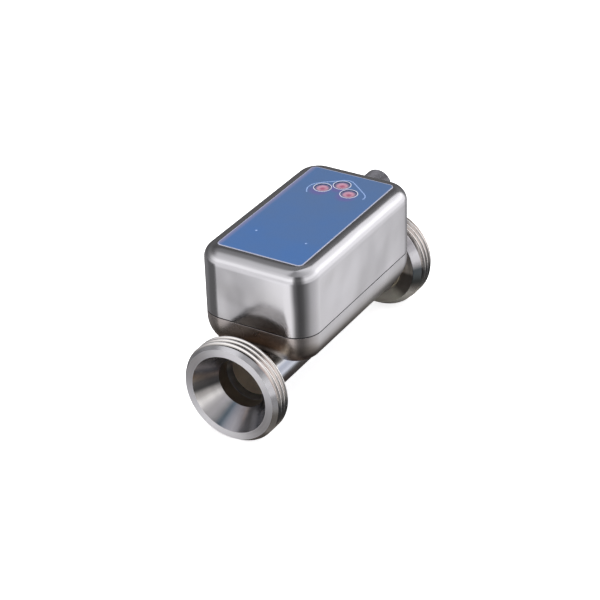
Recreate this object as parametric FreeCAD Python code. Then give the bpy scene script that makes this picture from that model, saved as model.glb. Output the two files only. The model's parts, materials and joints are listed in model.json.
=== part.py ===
"""Inline water flow sensor with threaded ends, for a 22 mm measuring tube.

Millimetres, +Z up. The water runs along Y through a plain tube whose axis is the
origin line: the inlet is at -Y and the outlet, with the plug for the cable, at +Y.
The origin is on that axis, at the middle of the housing's length.
"""
import math
import os

import FreeCAD
import Part

Vec = FreeCAD.Vector

# Measuring tube and its two sockets
TUBE_R = 11.0
TUBE_BORE_R = 9.5
SOCKET_GAP = 0.03
SOCKET_DEPTH = 3.0

# Threaded ends, G 1 1/4
INLET_FACE_Y = -60.7
OUTLET_FACE_Y = 66.2
THREAD_R = 20.955
THREAD_PITCH = 2.309
THREAD_DEPTH = 1.479
THREAD_CREST = 0.45
THREAD_ROOT = 0.4
LEAD_CHAMFER = 2.2
FACE_RING_R = 19.3
INLET_THREAD_LENGTH = 8.4
OUTLET_THREAD_LENGTH = 7.6
END_BORE_R = 10.3
FUNNEL_MOUTH_R = 16.3
FUNNEL_DEPTH = 9.2
TUBE_STOP_DEPTH = 14.7
NECK_WALL = 1.3
UNDERCUT_R = 18.9
UNDERCUT_LENGTH = 1.2
SHOULDER_R = 20.6
SHOULDER_START = 9.3
SHOULDER_END_R = 18.3
SHOULDER_END = 13.9
EDGE_BREAK = 0.4

# Housing, drawn round one plan outline
HOUSING_HALF_X = 24.65
HOUSING_HALF_Y = 43.0
HOUSING_CORNER_R = 10.1
HOUSING_TOP_Z = 48.3
TOP_EDGE_R = 5.7
SEAM_Z = 20.3
GASKET_THICKNESS = 0.5
GASKET_SETBACK = 0.3
WALL = 2.0

# Pan under the housing, with a deep rounding down to the tube
PAN_BOTTOM_Z = 5.2
PAN_ROUND_Z = 12.6
PAN_ROUND_IN = 9.0
PAN_CORNER_SHRINK = 0.5
PAN_STEPS = 7
LIP_HEIGHT = 3.1
LIP_THICKNESS = 1.35
LIP_GAP = 0.15
RIM_BAND = 3.4
WELD_GAP = 0.02

# Window in the top
WINDOW_MARGIN_X = 5.84
WINDOW_MARGIN_Y = 6.43
WINDOW_CORNER_R = 2.26
WINDOW_THICKNESS = 1.8
WINDOW_GAP = 0.1
WINDOW_BEVEL = 0.3
SEAL_THICKNESS = 0.4
LEDGE_WIDTH = 3.0
LEDGE_THICKNESS = 1.5
SEAL_INSET = 0.3

# Three optical keys in a triangle at the outlet end of the window
KEY_SPACING_X = 5.95
SIDE_KEY_MARGIN_Y = 14.77
MIDDLE_KEY_MARGIN_Y = 9.57
KEY_R = 3.3
KEY_GAP = 0.05
KEY_FLANGE_R = 3.8
KEY_FLANGE = 0.8
KEY_SETBACK = 0.35
KEY_SENSOR_R = 1.9
STACK_GAP = 0.1

# Boards
BOARD = 1.6
KEY_BOARD_DEPTH = 5.0
KEY_BOARD_MARGIN_X = 3.05
KEY_BOARD_MARGIN_Y = 8.0
KEY_BOARD_CORNER = 2.0
KEY_BOSS_MARGIN_X = 1.01
KEY_BOSS_MARGIN_Y = 14.57
KEY_BOSS_R = 2.0
DISPLAY_MARGIN_X = 2.31
DISPLAY_MARGIN_Y = 12.57
DISPLAY_TO_KEYS = 9.8
DISPLAY_RIM_X = 1.5
DISPLAY_RIM_Y = 2.5
DISPLAY_STEP = 0.3
MAIN_BOARD_RISE = 0.275
MAIN_BOARD_MARGIN_X = 2.45
MAIN_BOARD_MARGIN_Y = 5.0
MAIN_BOARD_CORNER = 1.0
NOTCH_CLEAR_X = 1.1
NOTCH_CLEAR_Y = 1.5
STANDOFF_FROM_TUBE = 2.0
STANDOFF_MARGIN_Y = 11.5
PROCESSOR_HALF = 6.0
PROCESSOR_HEIGHT = 1.6
RELAY_WIDTH = 8.0
RELAY_LENGTH = 12.0
RELAY_HEIGHT = 4.0
RELAY_MARGIN_X = 4.2
RELAY_START_Y = 4.0
COIL_WIDTH = 6.0
COIL_LENGTH = 8.0
COIL_HEIGHT = 2.2
COIL_MARGIN_X = 5.2
COIL_START_Y = 6.0
CAPACITOR_R = 3.2
CAPACITOR_FILL = 0.58
CAPACITOR_MARGIN_X = 8.2
CAPACITOR_Y = 10.0
SOLDER_SINK = 0.2
STANDOFF_FLATS = 5.0
STANDOFF_PAD_R = 3.4
STANDOFF_PAD_Z = 9.0
STUD_LENGTH = 2.4

# Fasteners
THREAD_FIT = 0.05
M3_R = 1.5
M3_HEAD_R = 2.75
M3_HEAD = 3.0
M3_PASS_R = 1.7
M25_R = 1.25
M25_HEAD_R = 2.3
M25_HEAD = 1.6
M25_PASS_R = 1.45
M2_R = 1.0
M2_HEAD_R = 1.8
M2_HEAD = 1.3
M2_PASS_R = 1.15
HEX_SOCKET_M3 = 2.5
HEX_SOCKET_M25 = 1.5
HEX_SOCKET_M2 = 1.3

# Cover screws, up through pockets in the pan into pillars of the cover
PILLAR_MARGIN_X = 7.15
PILLAR_MARGIN_Y = 10.0
PILLAR_R = 3.0
PILLAR_TOP_Z = 34.0
PILLAR_STOP = 0.1
RIB_WIDTH = 3.0
RIB_ABOVE_LIP = 0.5
PAN_BOSS_R = 4.3
POCKET_R = 3.1
POCKET_TOP_Z = 12.5
COVER_SCREW_END_Z = 27.0

# Two sound transducers on the crown of the tube
WEDGE_HALF_X = 5.5
WEDGE_NEAR_Y = 5.5
WEDGE_STEP_Y = 11.5
WEDGE_FAR_Y = 22.0
WEDGE_TOP_Z = 23.3
WEDGE_LOW_Z = 14.5
PIEZO_R = 4.5
PIEZO_THICKNESS = 1.0
CLAMP_SHEET = 1.0
CLAMP_Y = 8.5
CLAMP_WIDTH = 5.0
CLAMP_FOOT = 15.6
CLAMP_BOSS_X = 12.6
CLAMP_BOSS_R = 2.8
CLAMP_BOSS_Z = 12.0
LEAD_R = 0.5
PROBE_HALF = (4.0, 3.4)
PROBE_TOP_Z = 14.5

# Round plug for the cable, M12
PLUG_ABOVE_BOARD = 0.4
PLUG_R = 6.0
PLUG_REACH = 14.2
PLUG_TAIL = 5.4
PLUG_BORE_R = 5.0
PLUG_FLANGE_R = 7.6
PLUG_FLANGE = 2.0
PLUG_SEAL = 0.6
PLUG_SEAL_R = 7.2
PLUG_HOLE_GAP = 0.1
NUT_FLATS = 14.0
NUT_THICKNESS = 3.0
INSERT_DEPTH = 8.2
PIN_R = 0.5
PIN_DEPTH = 2.2
PIN_TAIL = 1.6
PIN_CIRCLE_R = 2.35
FLEX = 0.3
FLEX_HALF_X = 5.0
FLEX_ABOVE_PLUG = 4.5
LINK_MARGIN_Y = 6.0
LINK_HALF_X = 6.0
LINK_PLUG_RIM = 1.0
LINK_PLUG_HALF_Y = 1.5
LINK_PLUG_HEIGHT = 2.5

# Worked out from the values above
SEAM_LOW_Z = SEAM_Z - GASKET_THICKNESS / 2
SEAM_HIGH_Z = SEAM_Z + GASKET_THICKNESS / 2
NECK_R = TUBE_R + SOCKET_GAP + NECK_WALL
INLET_TUBE_Y = INLET_FACE_Y + TUBE_STOP_DEPTH
OUTLET_TUBE_Y = OUTLET_FACE_Y - TUBE_STOP_DEPTH
PAN_FLOOR_Z = PAN_BOTTOM_Z + WALL
WINDOW_HALF_X = HOUSING_HALF_X - WINDOW_MARGIN_X
WINDOW_HALF_Y = HOUSING_HALF_Y - WINDOW_MARGIN_Y
WINDOW_TOP_Z = HOUSING_TOP_Z + WINDOW_BEVEL / 2
PANEL_LOW_Z = WINDOW_TOP_Z - WINDOW_THICKNESS
RECESS_Z = PANEL_LOW_Z - SEAL_THICKNESS
LEDGE_LOW_Z = RECESS_Z - LEDGE_THICKNESS
KEY_FLANGE_LOW_Z = PANEL_LOW_Z - KEY_FLANGE
WALL_INNER_Y = HOUSING_HALF_Y - WALL
KEY_BOARD_TOP_Z = HOUSING_TOP_Z - KEY_BOARD_DEPTH
KEY_BOARD_Z = KEY_BOARD_TOP_Z - BOARD
KEY_BOARD_HALF_X = HOUSING_HALF_X - WALL - KEY_BOARD_MARGIN_X
KEY_BOARD_HALF_Y = WALL_INNER_Y - KEY_BOARD_MARGIN_Y
KEY_BOSS = (WINDOW_HALF_X - KEY_BOSS_MARGIN_X, WINDOW_HALF_Y - KEY_BOSS_MARGIN_Y)
SIDE_KEY_Y = WINDOW_HALF_Y - SIDE_KEY_MARGIN_Y
KEY_CENTRES = {"left": (-KEY_SPACING_X, SIDE_KEY_Y),
               "middle": (0.0, WINDOW_HALF_Y - MIDDLE_KEY_MARGIN_Y),
               "right": (KEY_SPACING_X, SIDE_KEY_Y)}
DISPLAY_HALF_X = WINDOW_HALF_X - LEDGE_WIDTH - DISPLAY_MARGIN_X
DISPLAY_START_Y = DISPLAY_MARGIN_Y - WINDOW_HALF_Y
DISPLAY_END_Y = SIDE_KEY_Y - DISPLAY_TO_KEYS
MAIN_BOARD_Z = SEAM_Z + (HOUSING_TOP_Z - SEAM_Z) * MAIN_BOARD_RISE
MAIN_BOARD_TOP_Z = MAIN_BOARD_Z + BOARD
MAIN_BOARD_HALF_X = HOUSING_HALF_X - WALL - MAIN_BOARD_MARGIN_X
MAIN_BOARD_HALF_Y = WALL_INNER_Y - MAIN_BOARD_MARGIN_Y
STANDOFF_TOP_Z = MAIN_BOARD_Z
STANDOFF_AT = (TUBE_R + STANDOFF_FROM_TUBE, MAIN_BOARD_HALF_Y - STANDOFF_MARGIN_Y)
PILLAR_AT = (HOUSING_HALF_X - PILLAR_MARGIN_X, HOUSING_HALF_Y - PILLAR_MARGIN_Y)
NOTCH = (PILLAR_AT[0] - PILLAR_R - NOTCH_CLEAR_X, PILLAR_AT[1] - PILLAR_R - NOTCH_CLEAR_Y)
CAPACITOR_HEIGHT = (KEY_BOARD_Z - MAIN_BOARD_TOP_Z) * CAPACITOR_FILL
PLUG_Z = MAIN_BOARD_TOP_Z + PLUG_ABOVE_BOARD + PLUG_R
PLUG_END_Y = HOUSING_HALF_Y + PLUG_REACH
PLUG_INNER_Y = WALL_INNER_Y - PLUG_TAIL
INSERT_END_Y = PLUG_END_Y - INSERT_DEPTH
PIN_END_Y = PLUG_END_Y - PIN_DEPTH
LINK_Y = LINK_MARGIN_Y - MAIN_BOARD_HALF_Y


def plan_wire(half_x, half_y, corner, z):
    """Rounded rectangle about the origin at height z."""
    corner = max(corner, 0.05)
    x = half_x - corner
    y = half_y - corner
    h = corner * math.sqrt(0.5)
    edges = []
    corners = ((x, y, 1, 1), (-x, y, -1, 1), (-x, -y, -1, -1), (x, -y, 1, -1))
    for i, (cx, cy, sx, sy) in enumerate(corners):
        on_x = Vec(cx + sx * corner, cy, z)
        on_y = Vec(cx, cy + sy * corner, z)
        first, last = (on_x, on_y) if i in (0, 2) else (on_y, on_x)
        middle = Vec(cx + sx * h, cy + sy * h, z)
        edges.append(Part.Arc(first, middle, last).toShape())
        nx, ny, tx, ty = corners[(i + 1) % 4]
        start = Vec(nx + tx * corner, ny, z) if i in (1, 3) else Vec(nx, ny + ty * corner, z)
        edges.append(Part.LineSegment(last, start).toShape())
    return Part.Wire(edges)


def prism(half_x, half_y, corner, z0, z1):
    """Upright block with rounded plan corners."""
    face = Part.Face(plan_wire(half_x, half_y, corner, z0))
    return face.extrude(Vec(0, 0, z1 - z0))


def ring(outer, inner, z0, z1):
    """Frame between two rounded rectangles, each (half_x, half_y, corner)."""
    return prism(*outer, z0, z1).cut(prism(*inner, z0 - 1, z1 + 1))


def box(x0, x1, y0, y1, z0, z1):
    return Part.makeBox(x1 - x0, y1 - y0, z1 - z0, Vec(x0, y0, z0))


def post(x, y, r, z0, z1):
    return Part.makeCylinder(r, z1 - z0, Vec(x, y, z0))


def along_y(r, y0, y1, x=0.0, z=0.0):
    return Part.makeCylinder(r, y1 - y0, Vec(x, y0, z), Vec(0, 1, 0))


def hexagon(flats, z0, z1, x=0.0, y=0.0):
    """Hexagonal bar along Z."""
    r = flats / math.sqrt(3)
    points = [Vec(x + r * math.cos(a), y + r * math.sin(a), z0)
              for a in (math.radians(60 * i) for i in range(7))]
    return Part.Face(Part.makePolygon(points)).extrude(Vec(0, 0, z1 - z0))


def turned(profile):
    """Solid of revolution about Y from (radius, y) points."""
    points = [Vec(r, y, 0) for r, y in profile]
    face = Part.Face(Part.makePolygon(points + [points[0]]))
    return face.revolve(Vec(0, 0, 0), Vec(0, 1, 0), 360)


def four(at):
    """The four mirrored places of one point."""
    x, y = at
    return [(x, y), (-x, y), (-x, -y), (x, -y)]


def rounded_top(solid, z, radius):
    """Round every edge that lies in the plane z."""
    edges = [e for e in solid.Edges
             if all(abs(v.Point.z - z) < 1e-6 for v in e.Vertexes)]
    return solid.makeFillet(radius, edges)


def screw(x, y, seat_z, down, r, length, head_r, head, socket):
    """Socket screw. The head lies on seat_z, on the far side from the shank."""
    way = -1 if down else 1
    shank = post(x, y, r, *sorted((seat_z - way * EDGE_BREAK, seat_z + way * length)))
    cap = post(x, y, head_r, *sorted((seat_z, seat_z - way * head)))
    outer = seat_z - way * head
    hole = hexagon(socket, *sorted((outer + way * head * 0.55, outer - way)), x, y)
    return cap.fuse(shank).cut(hole).removeSplitter()


def thread_profile(start, end):
    """Crests and roots from start to end, as (radius, distance behind the face)."""
    flank = (THREAD_PITCH - THREAD_CREST - THREAD_ROOT) / 2
    points = []
    at = start + THREAD_CREST
    while at + 2 * flank + THREAD_ROOT <= end + 1e-6:
        points.append((THREAD_R, at))
        points.append((THREAD_R - THREAD_DEPTH, at + flank))
        points.append((THREAD_R - THREAD_DEPTH, at + flank + THREAD_ROOT))
        points.append((THREAD_R, at + 2 * flank + THREAD_ROOT))
        at += THREAD_PITCH
    return points


def end_fitting(face_y, way, back):
    """Turned end: funnel, bore and socket inside; thread, back and neck outside."""
    end = TUBE_STOP_DEPTH + SOCKET_DEPTH
    socket_r = TUBE_R + SOCKET_GAP
    outline = [(FUNNEL_MOUTH_R, 0.0), (FACE_RING_R, 0.0), (THREAD_R, LEAD_CHAMFER)]
    outline += back
    outline += [(NECK_R, end), (socket_r, end), (socket_r, TUBE_STOP_DEPTH)]
    outline += [(END_BORE_R, TUBE_STOP_DEPTH), (END_BORE_R, FUNNEL_DEPTH)]
    return turned([(r, face_y + way * s) for r, s in outline])


def inlet_fitting():
    back = thread_profile(LEAD_CHAMFER, INLET_THREAD_LENGTH)
    back += [(THREAD_R, INLET_THREAD_LENGTH - EDGE_BREAK)]
    back += [(THREAD_R - EDGE_BREAK, INLET_THREAD_LENGTH), (NECK_R, INLET_THREAD_LENGTH)]
    return end_fitting(INLET_FACE_Y, 1, back)


def outlet_fitting():
    back = thread_profile(LEAD_CHAMFER, OUTLET_THREAD_LENGTH)
    back += [(THREAD_R, OUTLET_THREAD_LENGTH), (UNDERCUT_R, OUTLET_THREAD_LENGTH + EDGE_BREAK)]
    back += [(UNDERCUT_R, OUTLET_THREAD_LENGTH + UNDERCUT_LENGTH)]
    back += [(SHOULDER_R, SHOULDER_START), (SHOULDER_END_R, SHOULDER_END)]
    back += [(NECK_R, SHOULDER_END)]
    return end_fitting(OUTLET_FACE_Y, -1, back)


def measuring_tube():
    outer = along_y(TUBE_R, INLET_TUBE_Y, OUTLET_TUBE_Y)
    return outer.cut(along_y(TUBE_BORE_R, INLET_TUBE_Y - 1, OUTLET_TUBE_Y + 1))


def pan_bowl(inset, floor_z, top_z):
    """Bowl whose walls run down into a deep elliptic rounding."""
    half_x = HOUSING_HALF_X - inset
    half_y = HOUSING_HALF_Y - inset
    corner = HOUSING_CORNER_R - inset
    round_z = PAN_ROUND_Z - (floor_z - PAN_BOTTOM_Z)
    round_in = PAN_ROUND_IN - inset / 2
    wires = []
    for i in range(PAN_STEPS + 1):
        turn = math.pi / 2 * i / PAN_STEPS
        step = round_in * (1 - math.cos(turn))
        z = floor_z + round_z * (1 - math.sin(turn))
        wires.append(plan_wire(half_x - step, half_y - step, corner - step * PAN_CORNER_SHRINK, z))
    bowl = Part.makeLoft(wires, True, False)
    return bowl.fuse(prism(half_x, half_y, corner, floor_z + round_z, top_z)).removeSplitter()


def base_pan():
    solid = pan_bowl(0.0, PAN_BOTTOM_Z, SEAM_LOW_Z)
    hollow = pan_bowl(WALL, PAN_FLOOR_Z, SEAM_LOW_Z + 1)
    pan = solid.cut(hollow)
    lip_out = WALL + LIP_GAP
    lip_in = lip_out + LIP_THICKNESS
    outer = (HOUSING_HALF_X - lip_out, HOUSING_HALF_Y - lip_out, HOUSING_CORNER_R - lip_out)
    inner = (HOUSING_HALF_X - lip_in, HOUSING_HALF_Y - lip_in, HOUSING_CORNER_R - lip_in)
    band = (HOUSING_HALF_X - WALL / 2, HOUSING_HALF_Y - WALL / 2, HOUSING_CORNER_R - WALL / 2)
    rim_low = SEAM_LOW_Z - RIM_BAND
    adds = [ring(band, inner, rim_low, SEAM_LOW_Z),
            ring(outer, inner, SEAM_LOW_Z - 1, SEAM_LOW_Z + LIP_HEIGHT)]
    adds += [post(x, y, PAN_BOSS_R, PAN_BOTTOM_Z, SEAM_LOW_Z).common(solid)
             for x, y in four(PILLAR_AT)]
    adds += [post(x, y, STANDOFF_PAD_R, PAN_BOTTOM_Z, STANDOFF_PAD_Z).common(solid)
             for x, y in four(STANDOFF_AT)]
    adds += [post(x, y, CLAMP_BOSS_R, PAN_BOTTOM_Z, CLAMP_BOSS_Z).common(solid)
             for x, y in four((CLAMP_BOSS_X, CLAMP_Y))]
    pan = pan.fuse(adds)
    holes = [along_y(TUBE_R + WELD_GAP, -HOUSING_HALF_Y - 1, HOUSING_HALF_Y + 1)]
    for x, y in four(PILLAR_AT):
        holes.append(post(x, y, POCKET_R, PAN_BOTTOM_Z - 1, POCKET_TOP_Z))
        holes.append(post(x, y, M3_PASS_R, POCKET_TOP_Z - 1, SEAM_LOW_Z + 1))
    for x, y in four(STANDOFF_AT):
        holes.append(post(x, y, M25_R + THREAD_FIT, STANDOFF_PAD_Z - STUD_LENGTH - 0.2, STANDOFF_PAD_Z + 1))
    for x, y in four((CLAMP_BOSS_X, CLAMP_Y)):
        holes.append(post(x, y, M25_R + THREAD_FIT, CLAMP_BOSS_Z - 4.2, CLAMP_BOSS_Z + 1))
    return pan.cut(holes).removeSplitter()


def housing_gasket():
    inner = WALL + LIP_GAP - WELD_GAP
    return ring((HOUSING_HALF_X - GASKET_SETBACK, HOUSING_HALF_Y - GASKET_SETBACK,
                 HOUSING_CORNER_R - GASKET_SETBACK),
                (HOUSING_HALF_X - inner, HOUSING_HALF_Y - inner, HOUSING_CORNER_R - inner),
                SEAM_LOW_Z, SEAM_HIGH_Z)


def housing_cover():
    shell = rounded_top(prism(HOUSING_HALF_X, HOUSING_HALF_Y, HOUSING_CORNER_R,
                              SEAM_HIGH_Z, HOUSING_TOP_Z), HOUSING_TOP_Z, TOP_EDGE_R)
    inner_top = HOUSING_TOP_Z - WALL
    hollow = prism(HOUSING_HALF_X - WALL, HOUSING_HALF_Y - WALL, HOUSING_CORNER_R - WALL,
                   SEAM_HIGH_Z - 1, inner_top)
    hollow = rounded_top(hollow, inner_top, TOP_EDGE_R - WALL)
    ledge = prism(WINDOW_HALF_X + LEDGE_THICKNESS, WINDOW_HALF_Y + LEDGE_THICKNESS,
                  WINDOW_CORNER_R + LEDGE_THICKNESS, LEDGE_LOW_Z, inner_top + 0.5)
    adds = [ledge]
    adds += [post(x, y, KEY_BOSS_R, KEY_BOARD_TOP_Z, LEDGE_LOW_Z + 0.5) for x, y in four(KEY_BOSS)]
    for x, y in four(PILLAR_AT):
        adds.append(post(x, y, PILLAR_R, SEAM_LOW_Z + PILLAR_STOP, PILLAR_TOP_Z))
        wall_x = math.copysign(HOUSING_HALF_X - WALL / 2, x)
        rib_low = SEAM_LOW_Z + LIP_HEIGHT + RIB_ABOVE_LIP
        adds.append(box(min(x, wall_x), max(x, wall_x), y - RIB_WIDTH / 2, y + RIB_WIDTH / 2,
                        rib_low, PILLAR_TOP_Z))
    cover = shell.cut(hollow).fuse(adds)
    holes = [prism(WINDOW_HALF_X, WINDOW_HALF_Y, WINDOW_CORNER_R, RECESS_Z, HOUSING_TOP_Z + 1),
             prism(WINDOW_HALF_X - LEDGE_WIDTH, WINDOW_HALF_Y - LEDGE_WIDTH, 1.0,
                   LEDGE_LOW_Z - 1, HOUSING_TOP_Z),
             along_y(PLUG_R + PLUG_HOLE_GAP, WALL_INNER_Y - 1, HOUSING_HALF_Y + 1, 0, PLUG_Z)]
    for x, y in four(KEY_BOSS):
        holes.append(post(x, y, M2_R + THREAD_FIT, KEY_BOARD_TOP_Z - 1, RECESS_Z - 0.4))
    for x, y in four(PILLAR_AT):
        holes.append(post(x, y, M3_R + THREAD_FIT, SEAM_LOW_Z, COVER_SCREW_END_Z + 1))
    return cover.cut(holes).removeSplitter()


def cover_screws():
    length = COVER_SCREW_END_Z - POCKET_TOP_Z
    return Part.makeCompound([
        screw(x, y, POCKET_TOP_Z, False, M3_R, length, M3_HEAD_R, M3_HEAD, HEX_SOCKET_M3)
        for x, y in four(PILLAR_AT)])


def window_seal():
    outer = (WINDOW_HALF_X - SEAL_INSET, WINDOW_HALF_Y - SEAL_INSET, WINDOW_CORNER_R - SEAL_INSET)
    inside = LEDGE_WIDTH - SEAL_INSET
    inner = (WINDOW_HALF_X - inside, WINDOW_HALF_Y - inside, 1.0)
    return ring(outer, inner, RECESS_Z, PANEL_LOW_Z)


def window_panel():
    panel = prism(WINDOW_HALF_X - WINDOW_GAP, WINDOW_HALF_Y - WINDOW_GAP,
                  WINDOW_CORNER_R - WINDOW_GAP, PANEL_LOW_Z, WINDOW_TOP_Z)
    edges = [e for e in panel.Edges
             if all(abs(v.Point.z - WINDOW_TOP_Z) < 1e-6 for v in e.Vertexes)]
    panel = panel.makeChamfer(WINDOW_BEVEL, edges)
    return panel.cut([post(x, y, KEY_R + KEY_GAP, PANEL_LOW_Z - 1, WINDOW_TOP_Z + 1)
                      for x, y in KEY_CENTRES.values()])


def key_lens(name):
    x, y = KEY_CENTRES[name]
    face = post(x, y, KEY_R, PANEL_LOW_Z - 0.2, WINDOW_TOP_Z - KEY_SETBACK)
    return face.fuse(post(x, y, KEY_FLANGE_R, KEY_FLANGE_LOW_Z, PANEL_LOW_Z)).removeSplitter()


def key_sensors():
    top = KEY_FLANGE_LOW_Z - STACK_GAP
    return Part.makeCompound([post(x, y, KEY_SENSOR_R, KEY_BOARD_TOP_Z, top)
                              for x, y in KEY_CENTRES.values()])


def display_module():
    top = PANEL_LOW_Z - STACK_GAP
    glass = box(-DISPLAY_HALF_X, DISPLAY_HALF_X, DISPLAY_START_Y, DISPLAY_END_Y,
                KEY_BOARD_TOP_Z, top)
    frame_x = DISPLAY_HALF_X - DISPLAY_RIM_X
    step = box(-frame_x, frame_x, DISPLAY_START_Y + DISPLAY_RIM_Y, DISPLAY_END_Y - DISPLAY_RIM_Y,
               top - DISPLAY_STEP, top + 1)
    return glass.cut(step)


def key_board():
    board = prism(KEY_BOARD_HALF_X, KEY_BOARD_HALF_Y, KEY_BOARD_CORNER, KEY_BOARD_Z, KEY_BOARD_TOP_Z)
    return board.cut([post(x, y, M2_PASS_R, KEY_BOARD_Z - 1, KEY_BOARD_TOP_Z + 1)
                      for x, y in four(KEY_BOSS)])


def key_board_screws():
    length = RECESS_Z - 0.8 - KEY_BOARD_Z
    return Part.makeCompound([
        screw(x, y, KEY_BOARD_Z, False, M2_R, length, M2_HEAD_R, M2_HEAD, HEX_SOCKET_M2)
        for x, y in four(KEY_BOSS)])


def main_board():
    board = prism(MAIN_BOARD_HALF_X, MAIN_BOARD_HALF_Y, MAIN_BOARD_CORNER,
                  MAIN_BOARD_Z, MAIN_BOARD_TOP_Z)
    notch_x, notch_y = NOTCH
    cuts = []
    for sx in (-1, 1):
        for sy in (-1, 1):
            xs = sorted((sx * notch_x, sx * HOUSING_HALF_X))
            ys = sorted((sy * notch_y, sy * HOUSING_HALF_Y))
            cuts.append(box(*xs, *ys, MAIN_BOARD_Z - 1, MAIN_BOARD_TOP_Z + 1))
    cuts += [post(x, y, M25_PASS_R, MAIN_BOARD_Z - 1, MAIN_BOARD_TOP_Z + 1)
             for x, y in four(STANDOFF_AT)]
    foot = MAIN_BOARD_TOP_Z - SOLDER_SINK
    relay_x = RELAY_MARGIN_X - MAIN_BOARD_HALF_X
    coil_x = MAIN_BOARD_HALF_X - COIL_MARGIN_X
    chips = [box(-PROCESSOR_HALF, PROCESSOR_HALF, -PROCESSOR_HALF, PROCESSOR_HALF,
                 foot, MAIN_BOARD_TOP_Z + PROCESSOR_HEIGHT),
             box(relay_x, relay_x + RELAY_WIDTH, RELAY_START_Y, RELAY_START_Y + RELAY_LENGTH,
                 foot, MAIN_BOARD_TOP_Z + RELAY_HEIGHT),
             box(coil_x - COIL_WIDTH, coil_x, -COIL_START_Y - COIL_LENGTH, -COIL_START_Y,
                 foot, MAIN_BOARD_TOP_Z + COIL_HEIGHT),
             post(MAIN_BOARD_HALF_X - CAPACITOR_MARGIN_X, CAPACITOR_Y, CAPACITOR_R,
                  foot, MAIN_BOARD_TOP_Z + CAPACITOR_HEIGHT)]
    return board.cut(cuts).fuse(chips).removeSplitter()


def board_standoffs():
    bars = []
    for x, y in four(STANDOFF_AT):
        bar = hexagon(STANDOFF_FLATS, STANDOFF_PAD_Z, STANDOFF_TOP_Z, x, y)
        bar = bar.fuse(post(x, y, M25_R, STANDOFF_PAD_Z - STUD_LENGTH, STANDOFF_PAD_Z + 0.5))
        bars.append(bar.cut(post(x, y, M25_R + THREAD_FIT, STANDOFF_TOP_Z - 7, STANDOFF_TOP_Z + 1)))
    return Part.makeCompound([b.removeSplitter() for b in bars])


def board_screws():
    return Part.makeCompound([
        screw(x, y, MAIN_BOARD_TOP_Z, True, M25_R, 6.0 + BOARD, M25_HEAD_R, M25_HEAD, HEX_SOCKET_M25)
        for x, y in four(STANDOFF_AT)])


def wedge(way):
    """Sound coupler on the crown of the tube; way is -1 at the inlet, 1 at the outlet."""
    outline = [(WEDGE_FAR_Y, TUBE_R / 2), (WEDGE_NEAR_Y, TUBE_R / 2), (WEDGE_NEAR_Y, WEDGE_TOP_Z),
               (WEDGE_STEP_Y, WEDGE_TOP_Z), (WEDGE_FAR_Y, WEDGE_LOW_Z)]
    points = [Vec(-WEDGE_HALF_X, way * y, z) for y, z in outline]
    block = Part.Face(Part.makePolygon(points + [points[0]])).extrude(Vec(2 * WEDGE_HALF_X, 0, 0))
    return block.cut(along_y(TUBE_R + WELD_GAP, -40, 40))


def piezo_disc(way):
    middle_y = (WEDGE_STEP_Y + WEDGE_FAR_Y) / 2
    middle_z = (WEDGE_TOP_Z + WEDGE_LOW_Z) / 2
    normal = Vec(0, way * (WEDGE_TOP_Z - WEDGE_LOW_Z), WEDGE_FAR_Y - WEDGE_STEP_Y)
    return Part.makeCylinder(PIEZO_R, PIEZO_THICKNESS, Vec(0, way * middle_y, middle_z), normal)


def piezo_lead(way):
    middle_y = (WEDGE_STEP_Y + WEDGE_FAR_Y) / 2
    middle_z = (WEDGE_TOP_Z + WEDGE_LOW_Z) / 2
    wire = post(0, way * (middle_y + 0.5), LEAD_R, middle_z - 2, MAIN_BOARD_Z)
    return wire.cut([piezo_disc(way), wedge(way)])


def wedge_clamp(way):
    """Bent strap over the wedge with a foot on a boss at each side."""
    inner_x = WEDGE_HALF_X + STACK_GAP
    outer_x = inner_x + CLAMP_SHEET
    foot_top = CLAMP_BOSS_Z + CLAMP_SHEET
    top = WEDGE_TOP_Z + CLAMP_SHEET
    half = [(inner_x, WEDGE_TOP_Z), (inner_x, CLAMP_BOSS_Z), (CLAMP_FOOT, CLAMP_BOSS_Z),
            (CLAMP_FOOT, foot_top), (outer_x, foot_top), (outer_x, top)]
    outline = half + [(-x, z) for x, z in reversed(half)]
    start_y = way * CLAMP_Y - CLAMP_WIDTH / 2
    points = [Vec(x, start_y, z) for x, z in outline]
    strap = Part.Face(Part.makePolygon(points + [points[0]])).extrude(Vec(0, CLAMP_WIDTH, 0))
    return strap.cut([post(x, way * CLAMP_Y, M25_PASS_R, CLAMP_BOSS_Z - 1, foot_top + 1)
                      for x in (-CLAMP_BOSS_X, CLAMP_BOSS_X)])


def clamp_screws():
    return Part.makeCompound([
        screw(x, y, CLAMP_BOSS_Z + CLAMP_SHEET, True, M25_R, 4.0 + CLAMP_SHEET,
              M25_HEAD_R, M25_HEAD, HEX_SOCKET_M25)
        for x, y in four((CLAMP_BOSS_X, CLAMP_Y))])


def temperature_sensor():
    half_x, half_y = PROBE_HALF
    block = box(-half_x, half_x, -half_y, half_y, TUBE_R / 2, PROBE_TOP_Z)
    return block.cut(along_y(TUBE_R + WELD_GAP, -40, 40))


def temperature_lead():
    return post(0, 0, LEAD_R, PROBE_TOP_Z, MAIN_BOARD_Z)


def connector_body():
    flange_y = HOUSING_HALF_Y + PLUG_SEAL
    profile = [(PLUG_BORE_R, PLUG_INNER_Y), (PLUG_R, PLUG_INNER_Y), (PLUG_R, flange_y),
               (PLUG_FLANGE_R, flange_y), (PLUG_FLANGE_R, flange_y + PLUG_FLANGE),
               (PLUG_R, flange_y + PLUG_FLANGE), (PLUG_R, PLUG_END_Y - EDGE_BREAK),
               (PLUG_R - EDGE_BREAK, PLUG_END_Y), (PLUG_BORE_R, PLUG_END_Y)]
    return turned(profile).translated(Vec(0, 0, PLUG_Z))


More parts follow.
